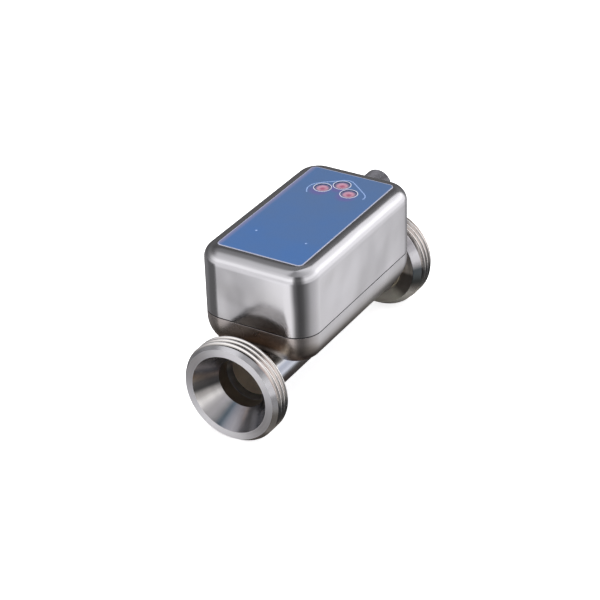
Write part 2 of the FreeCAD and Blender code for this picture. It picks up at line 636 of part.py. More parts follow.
def connector_seal():
    profile = [(PLUG_R + PLUG_HOLE_GAP, HOUSING_HALF_Y), (PLUG_SEAL_R, HOUSING_HALF_Y),
               (PLUG_SEAL_R, HOUSING_HALF_Y + PLUG_SEAL),
               (PLUG_R + PLUG_HOLE_GAP, HOUSING_HALF_Y + PLUG_SEAL)]
    return turned(profile).translated(Vec(0, 0, PLUG_Z))


def connector_nut():
    nut = hexagon(NUT_FLATS, 0, NUT_THICKNESS)
    nut.rotate(Vec(0, 0, 0), Vec(1, 0, 0), -90)
    nut.translate(Vec(0, WALL_INNER_Y - NUT_THICKNESS, PLUG_Z))
    return nut.cut(along_y(PLUG_R + THREAD_FIT, 0, HOUSING_HALF_Y + 1, 0, PLUG_Z))


def pin_places():
    places = [(0.0, PLUG_Z)]
    for i in range(4):
        turn = math.radians(45 + 90 * i)
        places.append((PIN_CIRCLE_R * math.cos(turn), PLUG_Z + PIN_CIRCLE_R * math.sin(turn)))
    return places


def connector_insert():
    insert = along_y(PLUG_BORE_R - KEY_GAP, PLUG_INNER_Y, INSERT_END_Y, 0, PLUG_Z)
    return insert.cut([along_y(PIN_R + WELD_GAP, PLUG_INNER_Y - 1, INSERT_END_Y + 1, x, z)
                       for x, z in pin_places()])


def connector_pins():
    start = PLUG_INNER_Y - PIN_TAIL
    return Part.makeCompound([along_y(PIN_R, start, PIN_END_Y, x, z) for x, z in pin_places()])


def connector_flex():
    end = PLUG_INNER_Y - PIN_TAIL
    return box(-FLEX_HALF_X, FLEX_HALF_X, end - FLEX, end,
               MAIN_BOARD_TOP_Z, PLUG_Z + FLEX_ABOVE_PLUG)


def board_link():
    """Flat strip between the boards with a small plug at each end."""
    strip = box(-LINK_HALF_X, LINK_HALF_X, LINK_Y, LINK_Y + FLEX, MAIN_BOARD_TOP_Z, KEY_BOARD_Z)
    plug_x = LINK_HALF_X + LINK_PLUG_RIM
    low = box(-plug_x, plug_x, LINK_Y - LINK_PLUG_HALF_Y, LINK_Y + LINK_PLUG_HALF_Y,
              MAIN_BOARD_TOP_Z, MAIN_BOARD_TOP_Z + LINK_PLUG_HEIGHT)
    high = box(-plug_x, plug_x, LINK_Y - LINK_PLUG_HALF_Y, LINK_Y + LINK_PLUG_HALF_Y,
               KEY_BOARD_Z - LINK_PLUG_HEIGHT, KEY_BOARD_Z)
    return strip.fuse([low, high]).removeSplitter()


PIECES = {
    "inlet_fitting": inlet_fitting,
    "outlet_fitting": outlet_fitting,
    "measuring_tube": measuring_tube,
    "base_pan": base_pan,
    "housing_gasket": housing_gasket,
    "housing_cover": housing_cover,
    "cover_screws": cover_screws,
    "window_seal": window_seal,
    "window_panel": window_panel,
    "left_key_lens": lambda: key_lens("left"),
    "middle_key_lens": lambda: key_lens("middle"),
    "right_key_lens": lambda: key_lens("right"),
    "key_sensors": key_sensors,
    "display_module": display_module,
    "key_board": key_board,
    "key_board_screws": key_board_screws,
    "main_board": main_board,
    "board_standoffs": board_standoffs,
    "board_screws": board_screws,
    "inlet_wedge": lambda: wedge(-1),
    "outlet_wedge": lambda: wedge(1),
    "inlet_piezo_disc": lambda: piezo_disc(-1),
    "outlet_piezo_disc": lambda: piezo_disc(1),
    "inlet_piezo_lead": lambda: piezo_lead(-1),
    "outlet_piezo_lead": lambda: piezo_lead(1),
    "inlet_wedge_clamp": lambda: wedge_clamp(-1),
    "outlet_wedge_clamp": lambda: wedge_clamp(1),
    "clamp_screws": clamp_screws,
    "temperature_sensor": temperature_sensor,
    "temperature_lead": temperature_lead,
    "connector_body": connector_body,
    "connector_seal": connector_seal,
    "connector_nut": connector_nut,
    "connector_insert": connector_insert,
    "connector_pins": connector_pins,
    "connector_flex": connector_flex,
    "board_link": board_link,
}


def main():
    os.makedirs("parts", exist_ok=True)
    for name, make in PIECES.items():
        shape = make()
        shape.exportStep("parts/" + name + ".step")
        print(name, len(shape.Solids), shape.isValid(), round(shape.Volume, 1))


main()
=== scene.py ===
"""Water flow sensor: its visible finish, built over the CAD frame."""

import json
import math

import bmesh
import bpy
from bpy.types import Operator, Panel, PropertyGroup
from mathutils import Matrix, Vector


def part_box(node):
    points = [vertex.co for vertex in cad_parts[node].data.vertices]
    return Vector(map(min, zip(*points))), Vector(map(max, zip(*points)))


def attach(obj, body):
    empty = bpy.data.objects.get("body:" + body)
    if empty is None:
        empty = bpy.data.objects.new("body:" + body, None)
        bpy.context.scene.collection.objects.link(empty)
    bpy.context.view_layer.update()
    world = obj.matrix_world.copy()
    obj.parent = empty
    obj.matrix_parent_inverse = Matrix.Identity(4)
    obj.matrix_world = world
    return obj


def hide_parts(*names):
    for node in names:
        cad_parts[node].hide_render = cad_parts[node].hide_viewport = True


bl_info = {
    "name": "Water flow sensor",
    "version": (1, 0, 0),
    "blender": (4, 5, 0),
    "location": "View3D > Sidebar > Flow sensor",
    "description": "Builds the visible pieces of an inline water flow sensor over its CAD frame",
    "category": "Object",
}

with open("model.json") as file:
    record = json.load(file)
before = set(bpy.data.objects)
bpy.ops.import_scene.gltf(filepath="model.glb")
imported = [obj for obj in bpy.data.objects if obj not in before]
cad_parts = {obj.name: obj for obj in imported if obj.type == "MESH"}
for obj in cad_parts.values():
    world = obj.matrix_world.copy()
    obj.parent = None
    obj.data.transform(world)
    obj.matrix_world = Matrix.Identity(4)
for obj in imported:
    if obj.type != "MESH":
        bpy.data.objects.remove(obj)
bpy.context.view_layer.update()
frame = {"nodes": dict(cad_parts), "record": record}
MM = 0.001


# Sizes that the pieces take from the frame

def span(node, axis):
    """Where a CAD node starts and ends along an axis: 0, 1 or 2 for X, Y or Z."""
    start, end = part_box(node)
    return start[axis], end[axis]


COVER_HALF_X, COVER_HALF_Y, COVER_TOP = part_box("housing_cover")[1]
PANE_HALF_X, PANE_HALF_Y, PANE_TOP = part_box("window_panel")[1]
PANE_LOW = span("window_panel", 2)[0]
SEAM_LOW, SEAM_HIGH = span("housing_gasket", 2)
PAN_BOTTOM = span("base_pan", 2)[0]
TUBE_R = span("measuring_tube", 0)[1]
TUBE_START, TUBE_END = span("measuring_tube", 1)
THREAD_R = span("inlet_fitting", 0)[1]
INLET_FACE, INLET_BACK = span("inlet_fitting", 1)
OUTLET_BACK, OUTLET_FACE = span("outlet_fitting", 1)
PLUG_START, PLUG_END = span("connector_body", 1)
PLUG_Z = sum(span("connector_body", 2)) / 2


def length(name, text, millimetres):
    return bpy.props.FloatProperty(name=name, description=text, default=millimetres * MM, min=0.0,
                                   unit="LENGTH", subtype="DISTANCE", precision=5)


def linear(code):
    """Linear RGBA of an sRGB hex colour."""
    channels = [int(code[i:i + 2], 16) / 255 for i in (0, 2, 4)]
    return (*(c / 12.92 if c <= 0.04045 else ((c + 0.055) / 1.055) ** 2.4 for c in channels), 1.0)


def shade(name, text, code):
    return bpy.props.FloatVectorProperty(name=name, description=text, subtype="COLOR", size=4,
                                         min=0.0, max=1.0, default=linear(code))


class EndSizes(PropertyGroup):
    pitch: length("Thread pitch", "Pitch of the pipe thread", 2.309)
    depth: length("Thread depth", "Depth of the pipe thread", 1.479)
    crest: length("Crest", "Width of the thread's crest", 0.45)
    root: length("Root", "Width of the thread's root", 0.4)
    mouth_r: length("Funnel mouth", "Radius of the funnel at the face", 16.3)
    bore_r: length("Bore", "Radius behind the funnel", 10.3)
    funnel: length("Funnel depth", "Depth of the funnel", 9.2)
    ring_r: length("Face ring", "Outer radius of the sealing face", 19.3)
    chamfer: length("Lead chamfer", "Length of the chamfer at the thread's start", 2.2)
    stop: length("Tube stop", "Depth at which the tube's end sits", 14.7)
    colour: shade("Turned steel", "Colour of turned stainless steel", "EDEDEF")


class HousingSizes(PropertyGroup):
    corner: length("Plan corner", "Radius of the upright corners", 10.1)
    top_edge: length("Top edge", "Radius of the rounding round the top", 5.7)
    seam_edge: length("Seam edge", "Rounding of the pan's rim at the seam", 0.07)
    wall: length("Wall", "Thickness of cover and pan", 2.0)
    window_x: length("Window margin X", "Cover's side to the window's edge", 5.84)
    window_y: length("Window margin Y", "Cover's end to the window's edge", 6.43)
    window_corner: length("Window corner", "Corner radius of the window", 2.26)
    ledge: length("Ledge", "Width of the ledge under the pane", 3.0)
    round_in: length("Pan rounding in", "How far the pan's rounding goes in", 9.0)
    round_down: length("Pan rounding down", "How far the pan's rounding goes down", 12.6)
    pocket_r: length("Screw pocket", "Radius of the pockets under the pan", 3.1)
    colour: shade("Drawn steel", "Colour of polished drawn stainless steel", "D9D9DB")


class WindowSizes(PropertyGroup):
    bevel: length("Pane bevel", "Bevel round the pane's top edge", 0.2)
    key_r: length("Key", "Radius of a key's lens", 3.3)
    ring: length("Key ring", "Width of the pale ring round a key", 0.34)
    line: length("Outline", "Width of the pale outline round the keys", 0.44)
    blue: shade("Blue print", "Colour printed on the back of the pane", "3F659A")
    pale: shade("Pale print", "Colour of the rings", "C9CCDA")
    outline: shade("Outline print", "Colour of the outline", "8CA6D4")
    red: shade("Key", "Colour of the keys' lenses", "BE8FA2")


KEYS = {"left_key_lens": (-5.95 * MM, 21.8 * MM), "middle_key_lens": (0.0, 27.0 * MM),
        "right_key_lens": (5.95 * MM, 21.8 * MM)}
# How much the drawn walls bulge: height lost per square millimetre from the middle
CROWN_X, CROWN_Y = 0.0006, 0.0003
POCKETS = [(sx * 17.5 * MM, sy * 33.0 * MM) for sx in (-1, 1) for sy in (-1, 1)]
PANE_CORNER = 2.16 * MM
PRINT_LOW, PRINT_HIGH = PANE_TOP - 0.01 * MM, PANE_TOP + 0.03 * MM
NECK_R, NECK_FILLET = TUBE_R + 1.33 * MM, 0.3 * MM
# Where the roots of the pipe thread and the back faces of the ends lie: radii, and depths from the face
ROOT_FROM, ROOT_TO = 19.35 * MM, 19.7 * MM
BACK_FROM, BACK_TO = 8.7 * MM, 14.0 * MM
SIDES = 192
THREAD_SIDES = 96


# Steps of the work, one function each

def deselect():
    if bpy.context.object and bpy.context.object.mode != "OBJECT":
        bpy.ops.object.mode_set(mode="OBJECT")
    bpy.ops.object.select_all(action="DESELECT")


def named(name):
    """Names the piece that was just added and puts its place into its mesh."""
    piece = bpy.context.object
    piece.name = name
    piece.data.name = name
    bpy.ops.object.transform_apply(location=True, rotation=True, scale=True)
    return piece


def alone(piece):
    deselect()
    piece.select_set(True)
    bpy.context.view_layer.objects.active = piece


def edit(piece):
    """Opens the piece alone in edit mode."""
    alone(piece)
    bpy.ops.object.mode_set(mode="EDIT")


def pick(kind, test):
    """In edit mode, selects the verts, edges or faces that pass the test."""
    bpy.ops.mesh.select_mode(type=kind)
    bpy.ops.mesh.select_all(action="DESELECT")
    mesh = bmesh.from_edit_mesh(bpy.context.object.data)
    parts = {"VERT": mesh.verts, "EDGE": mesh.edges, "FACE": mesh.faces}[kind]
    for part in parts:
        part.select_set(bool(test(part)))
    mesh.select_flush_mode()
    bmesh.update_edit_mesh(bpy.context.object.data)


def close_up():
    """Merges doubles and turns all faces outwards, in edit mode."""
    bpy.ops.mesh.select_all(action="SELECT")
    bpy.ops.mesh.remove_doubles(threshold=1e-6)
    bpy.ops.mesh.normals_make_consistent(inside=False)
    bpy.ops.object.mode_set(mode="OBJECT")


def axis(along_z):
    """Direction of a round piece's axis, and the turn that lays a new circle across it."""
    return (Vector((0, 0, 1)), (0, 0, 0)) if along_z else (Vector((0, 1, 0)), (math.pi / 2, 0, 0))


def turned(name, outline, centre=(0, 0, 0), along_z=False, sides=SIDES):
    """Closed ring of revolution, drawn ring out of ring from (radius, distance) points."""
    deselect()
    way, turn = axis(along_z)
    r, at = outline[0]
    centre = Vector(centre)
    bpy.ops.mesh.primitive_circle_add(vertices=sides, radius=r, fill_type="NOTHING",
                                      location=centre + way * at, rotation=turn)
    piece = named(name)
    edit(piece)
    bpy.ops.mesh.select_all(action="SELECT")
    for next_r, next_at in [*outline[1:], outline[0]]:
        bpy.ops.mesh.extrude_region_move(TRANSFORM_OT_translate={"value": way * (next_at - at)})
        if abs(next_r - r) > 1e-9:
            k = next_r / r
            grow = (k, k, 1) if along_z else (k, 1, k)
            bpy.ops.transform.resize(value=grow, center_override=centre + way * next_at)
        r, at = next_r, next_at
    close_up()
    return piece


def round_edges(piece, test, radius, steps):
    """Rounds the edges that pass the test."""
    edit(piece)
    pick("EDGE", test)
    bpy.ops.mesh.bevel(offset=radius, segments=steps, affect="EDGES", clamp_overlap=False)
    bpy.ops.object.mode_set(mode="OBJECT")


def block(name, half, z0, z1, corner, steps=12):
    """Upright block with rounded plan corners."""
    deselect()
    bpy.ops.mesh.primitive_cube_add(size=1, location=(0, 0, (z0 + z1) / 2),
                                    scale=(2 * half[0], 2 * half[1], z1 - z0))
    piece = named(name)
    round_edges(piece, lambda e: abs(e.verts[0].co.z - e.verts[1].co.z) > (z1 - z0) / 2, corner, steps)
    return piece


def round_rim(piece, z, radius, steps):
    """Rounds the edges that lie at height z."""
    round_edges(piece, lambda e: all(abs(v.co.z - z) < 1e-6 for v in e.verts), radius, steps)


def combine(piece, other, operation="DIFFERENCE"):
    """Cuts the other solid out of the piece, or adds it, and drops the other."""
    alone(piece)
    step = piece.modifiers.new(operation, "BOOLEAN")
    step.operation = operation
    step.solver = "EXACT"
    step.object = other
    bpy.ops.object.modifier_apply(modifier=step.name)
    bpy.data.objects.remove(other)


def smooth(piece, degrees):
    """Smooth shading that keeps flat walls flat next to their roundings."""
    alone(piece)
    bpy.ops.object.shade_smooth_by_angle(angle=math.radians(degrees))
    step = piece.modifiers.new("Flat walls", "WEIGHTED_NORMAL")
    step.keep_sharp = True
    step.weight = 100
    bpy.ops.object.modifier_apply(modifier=step.name)


def rod(name, r, start, end, centre=(0, 0, 0), along_z=False, sides=SIDES):
    """Plain round cutter."""
    deselect()
    way, turn = axis(along_z)
    place = Vector(centre) + way * ((start + end) / 2)
    bpy.ops.mesh.primitive_cylinder_add(vertices=sides, radius=r, depth=end - start,
                                        location=place, rotation=turn)
    return named(name)


def thread_groove(name, r, pitch, depth, mouth, root, start, turns, centre=(0, 0, 0), degrees=90):
    """Right-hand V groove with broken crest edges that runs along Y, as a cutter.

    It starts at the given angle round Y, counted from the top towards +X.
    """
    deselect()
    spare = depth * 0.06
    edge = (pitch - mouth) * 0.22
    flank_top = mouth - (mouth - root) * edge / depth
    flared = mouth + 2 * (edge + spare)
    bpy.ops.mesh.primitive_plane_add(size=1, location=(r - (depth + edge) / 2, start, 0))
    bpy.ops.transform.resize(value=(depth - edge, flank_top, 1))
    piece = named(name)
    edit(piece)
    pick("VERT", lambda v: v.co.x < r - depth / 2)
    bpy.ops.transform.resize(value=(1, root / flank_top, 1), center_override=(r - depth, start, 0))
    pick("EDGE", lambda e: all(v.co.x > r - depth / 2 for v in e.verts))
    bpy.ops.mesh.extrude_region_move(TRANSFORM_OT_translate={"value": (edge + spare, 0, 0)})
    bpy.ops.transform.resize(value=(1, flared / flank_top, 1), center_override=(r, start, 0))
    pick("EDGE", lambda e: len(e.link_faces) == 2)
    bpy.ops.mesh.dissolve_edges(use_verts=False)
    bpy.ops.object.mode_set(mode="OBJECT")
    step = piece.modifiers.new("Helix", "SCREW")
    step.axis = "Y"
    step.angle = math.tau * turns
    step.screw_offset = pitch * turns
    step.steps = step.render_steps = int(THREAD_SIDES * turns)
    step.use_merge_vertices = False
    bpy.ops.object.modifier_apply(modifier=step.name)
    edit(piece)
    bpy.ops.mesh.select_all(action="SELECT")
    bpy.ops.mesh.remove_doubles(threshold=1e-7)
    pick("EDGE", lambda e: len(e.link_faces) < 2)
    bpy.ops.mesh.fill_holes(sides=0)
    close_up()
    piece.location = centre
    piece.rotation_euler = (0, math.radians(degrees - 90), 0)
    alone(piece)
    bpy.ops.object.transform_apply(location=True, rotation=True)
    return piece


def dress(piece, material, slot, *nodes):
    """Gives a finished piece its material and hides the nodes it stands for; the slot is not used."""
    piece.data.materials.clear()
    piece.data.materials.append(bpy.data.materials[material])
    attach(piece, "root")
    if nodes:
        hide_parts(*nodes)


# Materials

def fill_ramp(elements, stops):
    """Sets a colour ramp to (place, colour) stops; a single number is a grey."""
    while len(elements) < len(stops):
        elements.new(0.5)
    for element, (place, colour) in zip(elements, stops):
        grey = isinstance(colour, (int, float))
        element.position = place
        element.color = (colour, colour, colour, 1) if grey else (*colour[:3], 1)


def put(tree, kind, settings=None, **links):
    """Adds a shader node, such as "Math ADD", sets it and links its inputs.

    Inputs go by number (_0) or by name, with _ for a space, and a linked node gives its first output.
    A MapRange reads from 1 to 2 and gives 3 to 4.
    """
    kind, _, mode = kind.partition(" ")
    node = tree.nodes.new("ShaderNode" + kind)
    if mode:
        setattr(node, "operation" if hasattr(node, "operation") else "blend_type", mode)
    for key, value in (settings or {}).items():
        if key == "stops":
            fill_ramp(node.color_ramp.elements, value)
        elif hasattr(node, key):
            setattr(node, key, value)
        else:
            node.inputs[int(key) if key.isdigit() else key].default_value = value
    for key, source in links.items():
        start = source.outputs[0] if isinstance(source, bpy.types.Node) else source
        tree.links.new(start, node.inputs[int(key[1:]) if key[1:].isdigit() else key.replace("_", " ")])
    return node


def blank(name):
    """Tree of a new material, and the place on the piece that its patterns follow."""
    material = bpy.data.materials.new(name)
    material.use_nodes = True
    tree = material.node_tree
    tree.nodes.clear()
    return tree, put(tree, "TexCoord").outputs["Object"]


def from_axis(tree, place):
    """Distance from the Y axis, which the pipe follows."""
    across = put(tree, "VectorMath MULTIPLY", {"1": (1, 0, 1)}, _0=place)
    return put(tree, "VectorMath LENGTH", _0=across).outputs["Value"]


def by_angle(tree, first, second, stops):
    """Colour by the angle whose tangent is first over second, from (degrees, colour) stops."""
    turn = put(tree, "Math ARCTAN2", _0=first, _1=second)
    share = put(tree, "MapRange", {"1": -math.pi, "2": math.pi}, Value=turn)
    return put(tree, "ValToRGB", {"stops": [((degrees + 180) / 360, colour) for degrees, colour in stops]},
               Fac=share)


def streaked(tree, place, tone, streaks):
    """Tone times the streaks' colours, by angle round Y from the top towards +X: painted reflections, light
    and dark.
    """
    x, _, z = put(tree, "SeparateXYZ", _0=place).outputs
    return put(tree, "MixRGB MULTIPLY", {"Fac": 1.0}, Color1=tone, Color2=by_angle(tree, x, z, streaks))


def tool_rings(tree, place, ring_mm):
    """Fine rings round the Y axis, as a lathe tool leaves them."""
    split = put(tree, "SeparateXYZ", _0=place)
    feed = put(tree, "Math ADD", _0=from_axis(tree, place), _1=split.outputs["Y"])
    return put(tree, "TexNoise", {"noise_dimensions": "1D", "Scale": 1 / (ring_mm * MM), "Detail": 3.0,
                                  "Roughness": 0.7}, W=feed)


def turned_stainless(name, colour, ring_mm, rough, anisotropy, bump_mm, streaks=None):
    """Stainless steel off the lathe: rings round Y, and painted reflection streaks, light and dark, across
    them.
    """
    tree, place = blank(name)
    rings = tool_rings(tree, place, ring_mm)
    tone = put(tree, "MixRGB MULTIPLY", {"Fac": 0.12, "1": colour}, Color2=rings)
    if streaks:
        tone = streaked(tree, place, tone, streaks)
    polish = put(tree, "MapRange", {"1": 0.3, "2": 0.7, "3": rough * 0.75, "4": rough * 1.3}, Value=rings)
    relief = put(tree, "Bump", {"Strength": 0.5, "Distance": bump_mm * MM}, Height=rings)
    lathe = put(tree, "Tangent", {"direction_type": "RADIAL", "axis": "Y"})
    steel = put(tree, "BsdfPrincipled", {"Metallic": 1.0, "Anisotropic": anisotropy,
                                         "Anisotropic Rotation": 0.25},
                Base_Color=tone, Roughness=polish, Normal=relief, Tangent=lathe)
    put(tree, "OutputMaterial", Surface=steel)


def cut_thread(name, colour, root_r, crest_r, rough):
    """Single-point cut thread: the steel's colour on the crests, painted shade in the roots, and painted
    reflection streaks round it.
    """
    tree, place = blank(name)
    x, _, z = put(tree, "SeparateXYZ", _0=place).outputs
    height = put(tree, "MapRange", {"1": root_r, "2": crest_r}, Value=from_axis(tree, place))
    # Painted shade: the roots are dark, lighter only from 40 to 80 degrees
    root = by_angle(tree, x, z, ROOT_TONES)
    lift = put(tree, "MapRange", {"1": 0.2, "2": 0.8}, Value=height)
    bare = put(tree, "MixRGB", {"2": colour}, Fac=lift, Color1=root)
    tone = streaked(tree, place, bare, THREAD_STREAKS)
    polish = put(tree, "MapRange", {"1": 0.3, "2": 0.7, "3": rough * 0.8, "4": rough * 1.3},
                 Value=tool_rings(tree, place, 0.5))
    steel = put(tree, "BsdfPrincipled", {"Metallic": 1.0}, Base_Color=tone, Roughness=polish)
    put(tree, "OutputMaterial", Surface=steel)


def heat_tint(tree, place, colour):
    """Painted shade on the pan: dark brown round the tube at its ends, and darker steel low on its sides."""
    weld_r, clear_r, tint_from, tint_to = 9 * MM, 18 * MM, 34 * MM, 42 * MM
    side_from, side_to, side_top, side_low = 18 * MM, 20 * MM, 15 * MM, 10.5 * MM
    x, y, z = put(tree, "SeparateXYZ", _0=place).outputs
    out = put(tree, "MapRange", {"1": weld_r, "2": clear_r}, Value=from_axis(tree, place))
    tint = put(tree, "ValToRGB", {"stops": [(0, (0.14, 0.10, 0.08)), (0.4, (0.2, 0.15, 0.12)),
                                            (1, (1, 0.92, 0.86))]}, Fac=out)
    end = put(tree, "MapRange", {"1": tint_from, "2": tint_to}, Value=put(tree, "Math ABSOLUTE", _0=y))
    welds = put(tree, "MixRGB MULTIPLY", {"1": colour}, Fac=end, Color2=tint)
    side = put(tree, "MapRange", {"1": side_from, "2": side_to}, Value=put(tree, "Math ABSOLUTE", _0=x))
    low_down = put(tree, "MapRange", {"1": side_top, "2": side_low}, Value=z)
    rounding = put(tree, "Math MULTIPLY", _0=side, _1=low_down)
    return put(tree, "MixRGB", {"2": (0.12, 0.11, 0.12, 1)}, Fac=rounding, Color1=welds)


def drawn_stainless(name, colour, rough, wave_mm, wave_size_mm, welded=False):
    """Deep-drawn stainless steel, polished: crowned walls, slow waves and faint fine scratches."""
    tree, place = blank(name)
    crown = (math.sqrt(CROWN_X / MM), math.sqrt(CROWN_Y / MM), 0)
    spread = put(tree, "VectorMath MULTIPLY", {"1": crown}, _0=place)
    fall = put(tree, "VectorMath DOT_PRODUCT", _0=spread, _1=spread)
    bulge = put(tree, "Bump", {"Strength": 1.0, "Distance": 1.0, "invert": True},
                Height=fall.outputs["Value"])
    waves = put(tree, "TexNoise", {"Scale": 1 / (wave_size_mm * MM), "Detail": 1.5, "Roughness": 0.4},
                Vector=place)
    grit = put(tree, "TexNoise", {"Scale": 1 / (0.35 * MM), "Detail": 2.0}, Vector=place)
    slow = put(tree, "Bump", {"Strength": 1.0, "Distance": wave_mm * MM}, Height=waves, Normal=bulge)
    fine = put(tree, "Bump", {"Strength": 0.12, "Distance": 0.01 * MM}, Height=grit, Normal=slow)
    polish = put(tree, "MapRange", {"1": 0.3, "2": 0.7, "3": rough * 0.85, "4": rough * 1.2}, Value=waves)
    steel = put(tree, "BsdfPrincipled", {"Metallic": 1.0, "Base Color": colour}, Roughness=polish,
                Normal=fine)
    # The pan gets painted shade: dark brown round the tube at its ends and darker low on its sides
    if welded:
        tree.links.new(heat_tint(tree, place, colour).outputs[0], steel.inputs["Base Color"])
    put(tree, "OutputMaterial", Surface=steel)


def nearest_in_plan(tree, place, centres):
    """Distance in plan to the nearest of the centres."""
    flat = put(tree, "VectorMath MULTIPLY", {"1": (1, 1, 0)}, _0=place)
    nearest = None
    for x, y in centres:
        away = put(tree, "VectorMath DISTANCE", {"1": (x, y, 0)}, _0=flat).outputs["Value"]
        if nearest is None:
            nearest = away
        else:
            nearest = put(tree, "Math MINIMUM", _0=nearest, _1=away)
    return nearest


def from_edge(tree, place, half, corner):
    """Distance inwards from the edge of a rounded rectangle, out to its corner radius."""
    flat = put(tree, "VectorMath MULTIPLY", {"1": (1, 1, 0)}, _0=place)
    mirrored = put(tree, "VectorMath ABSOLUTE", _0=flat)
    inner = (half[0] - corner, half[1] - corner, 0)
    past = put(tree, "VectorMath SUBTRACT", {"1": inner}, _0=mirrored)
    kept = put(tree, "VectorMath MAXIMUM", {"1": (0, 0, 0)}, _0=past)
    reach = put(tree, "VectorMath LENGTH", _0=kept)
    return put(tree, "Math SUBTRACT", {"0": corner}, _1=reach.outputs["Value"])


def printed_glass(name, colour):
    """Glass pane printed on its back: deep colour under a hard gloss, greyer towards +Y, at its -X edge and
    in a thin line round its rim, with painted reflections of the keys.
    """
    tree, place = blank(name)
    margin_mm, margin_end_mm, glow_mm, glow_end_mm, line_mm, line_end_mm = 2.4, 0.7, 4.9, 2.6, 0.48, 0.4
    x, y, _ = put(tree, "SeparateXYZ", _0=place).outputs
    drift = put(tree, "TexNoise", {"Scale": 1 / (14 * MM), "Detail": 3.0}, Vector=place)
    along = put(tree, "MapRange", {"1": -PANE_HALF_Y, "2": PANE_HALF_Y, "3": -0.1, "4": 0.6}, Value=y)
    cloud = put(tree, "Math ADD", {"1": -0.25}, _0=drift)
    haze = put(tree, "Math ADD", {"use_clamp": True}, _0=along, _1=cloud)
    tone = put(tree, "MixRGB", {"1": colour, "2": linear("4C658A")}, Fac=haze)
    left = put(tree, "MapRange", {"1": -PANE_HALF_X + margin_mm * MM,
                                  "2": -PANE_HALF_X + margin_end_mm * MM, "4": 0.7}, Value=x)
    margin = put(tree, "MixRGB", {"2": linear("7E7A98")}, Fac=left, Color1=tone)
    # Painted reflection of the keys: purple halos on the -Y side of each key
    glow_at = [(key_x, key_y - 2.6 * MM) for key_x, key_y in KEYS.values()]
    glow = put(tree, "MapRange", {"1": glow_mm * MM, "2": glow_end_mm * MM, "4": 0.75},
               Value=nearest_in_plan(tree, place, glow_at))
    warm = put(tree, "MixRGB", {"2": linear("5F558C")}, Fac=glow, Color1=margin)
    rim = put(tree, "MapRange", {"1": line_mm * MM, "2": line_end_mm * MM},
              Value=from_edge(tree, place, (PANE_HALF_X, PANE_HALF_Y), PANE_CORNER))
    lined = put(tree, "MixRGB", {"2": linear("9DA1B6")}, Fac=rim, Color1=warm)
    glass = put(tree, "BsdfPrincipled", {"Roughness": 0.35, "IOR": 1.5, "Coat Weight": 1.0,
                                         "Coat Roughness": 0.03, "Coat IOR": 1.5}, Base_Color=lined)
    put(tree, "OutputMaterial", Surface=glass)


def key_lens(name, colour, radius):
    """Clear lens tinted red: deepest over the sensor, paler around it and dusky at its rim."""
    tree, place = blank(name)
    out = put(tree, "Math DIVIDE", {"1": radius}, _0=nearest_in_plan(tree, place, KEYS.values()))
    tone = put(tree, "ValToRGB", {"stops": [(0, linear("A35572")), (0.2, linear("AA6680")),
                                            (0.45, colour), (0.62, colour), (0.8, linear("6E6888")),
                                            (1, linear("5A5A7C"))]}, Fac=out)
    grain = put(tree, "TexNoise", {"Scale": 1 / (1.5 * MM), "Detail": 2.0}, Vector=place)
    cloudy = put(tree, "MixRGB MULTIPLY", {"Fac": 0.3}, Color1=tone, Color2=grain)
    lens = put(tree, "BsdfPrincipled", {"Roughness": 0.15, "Coat Weight": 1.0, "Coat Roughness": 0.05},
               Base_Color=cloudy)
    put(tree, "OutputMaterial", Surface=lens)


def plain_finish(name, colour, rough, metal=0.0, grain_mm=0.4, spread=0.12, coat=0.0):
    """Moulded, printed or plated surface with a fine grain in tone and relief."""
    tree, place = blank(name)
    grain = put(tree, "TexNoise", {"Scale": 1 / (grain_mm * MM), "Detail": 3.0}, Vector=place)
    dark = (*(c * (1 - spread) for c in colour[:3]), 1.0)
    tone = put(tree, "MixRGB", {"1": dark, "2": colour}, Fac=grain)
    relief = put(tree, "Bump", {"Strength": 0.2, "Distance": 0.02 * MM}, Height=grain)
    surface = put(tree, "BsdfPrincipled", {"Roughness": rough, "Metallic": metal, "Coat Weight": coat},
                  Base_Color=tone, Normal=relief)
    put(tree, "OutputMaterial", Surface=surface)


def lit_table(name):
    """Opal sheet lit from below: an even white that swallows most of the shadow."""
    tree, place = blank(name)
    haze = put(tree, "TexNoise", {"Scale": 4.0, "Detail": 1.0}, Vector=place)
    tone = put(tree, "MixRGB", {"1": linear("F1F1F1"), "2": linear("F6F6F6")}, Fac=haze)
    sheet = put(tree, "BsdfPrincipled", {"Roughness": 0.8, "Emission Strength": 0.75,
                                         "Emission Color": (1, 1, 1, 1)}, Base_Color=tone)
    put(tree, "OutputMaterial", Surface=sheet)


def soft_card(name):
    """Painted shadow under the sensor that the polished steel mirrors: brown, then grey and pale along Y,
    thinning out at its edge.
    """
    tree, place = blank(name)
    half_x, half_y, reach = 40 * MM, 72 * MM, 60 * MM
    oval = put(tree, "VectorMath MULTIPLY", {"1": (1 / half_x, 1 / half_y, 0)}, _0=place)
    out = put(tree, "VectorMath LENGTH", _0=oval).outputs["Value"]
    thin = put(tree, "MapRange", {"1": 0.75, "2": 1.1}, Value=out)
    felt = put(tree, "TexNoise", {"Scale": 400.0, "Detail": 2.0}, Vector=place)
    split = put(tree, "SeparateXYZ", _0=place)
    along = put(tree, "MapRange", {"1": -reach, "2": reach}, Value=split.outputs["Y"])
    brown, grey, pale = linear("6A5A50"), linear("9C968E"), linear("DEDBD0")
    dyed = put(tree, "ValToRGB", {"stops": [(0, brown), (0.24, brown), (0.66, grey), (0.72, grey),
                                            (0.85, pale)]}, Fac=along)
    tone = put(tree, "MixRGB MULTIPLY", {"Fac": 0.3}, Color1=dyed, Color2=felt)
    cloth = put(tree, "BsdfPrincipled", {"Roughness": 0.9}, Base_Color=tone)
    clear = put(tree, "BsdfTransparent")
    both = put(tree, "MixShader", _0=thin, _1=cloth, _2=clear)
    put(tree, "OutputMaterial", Surface=both)


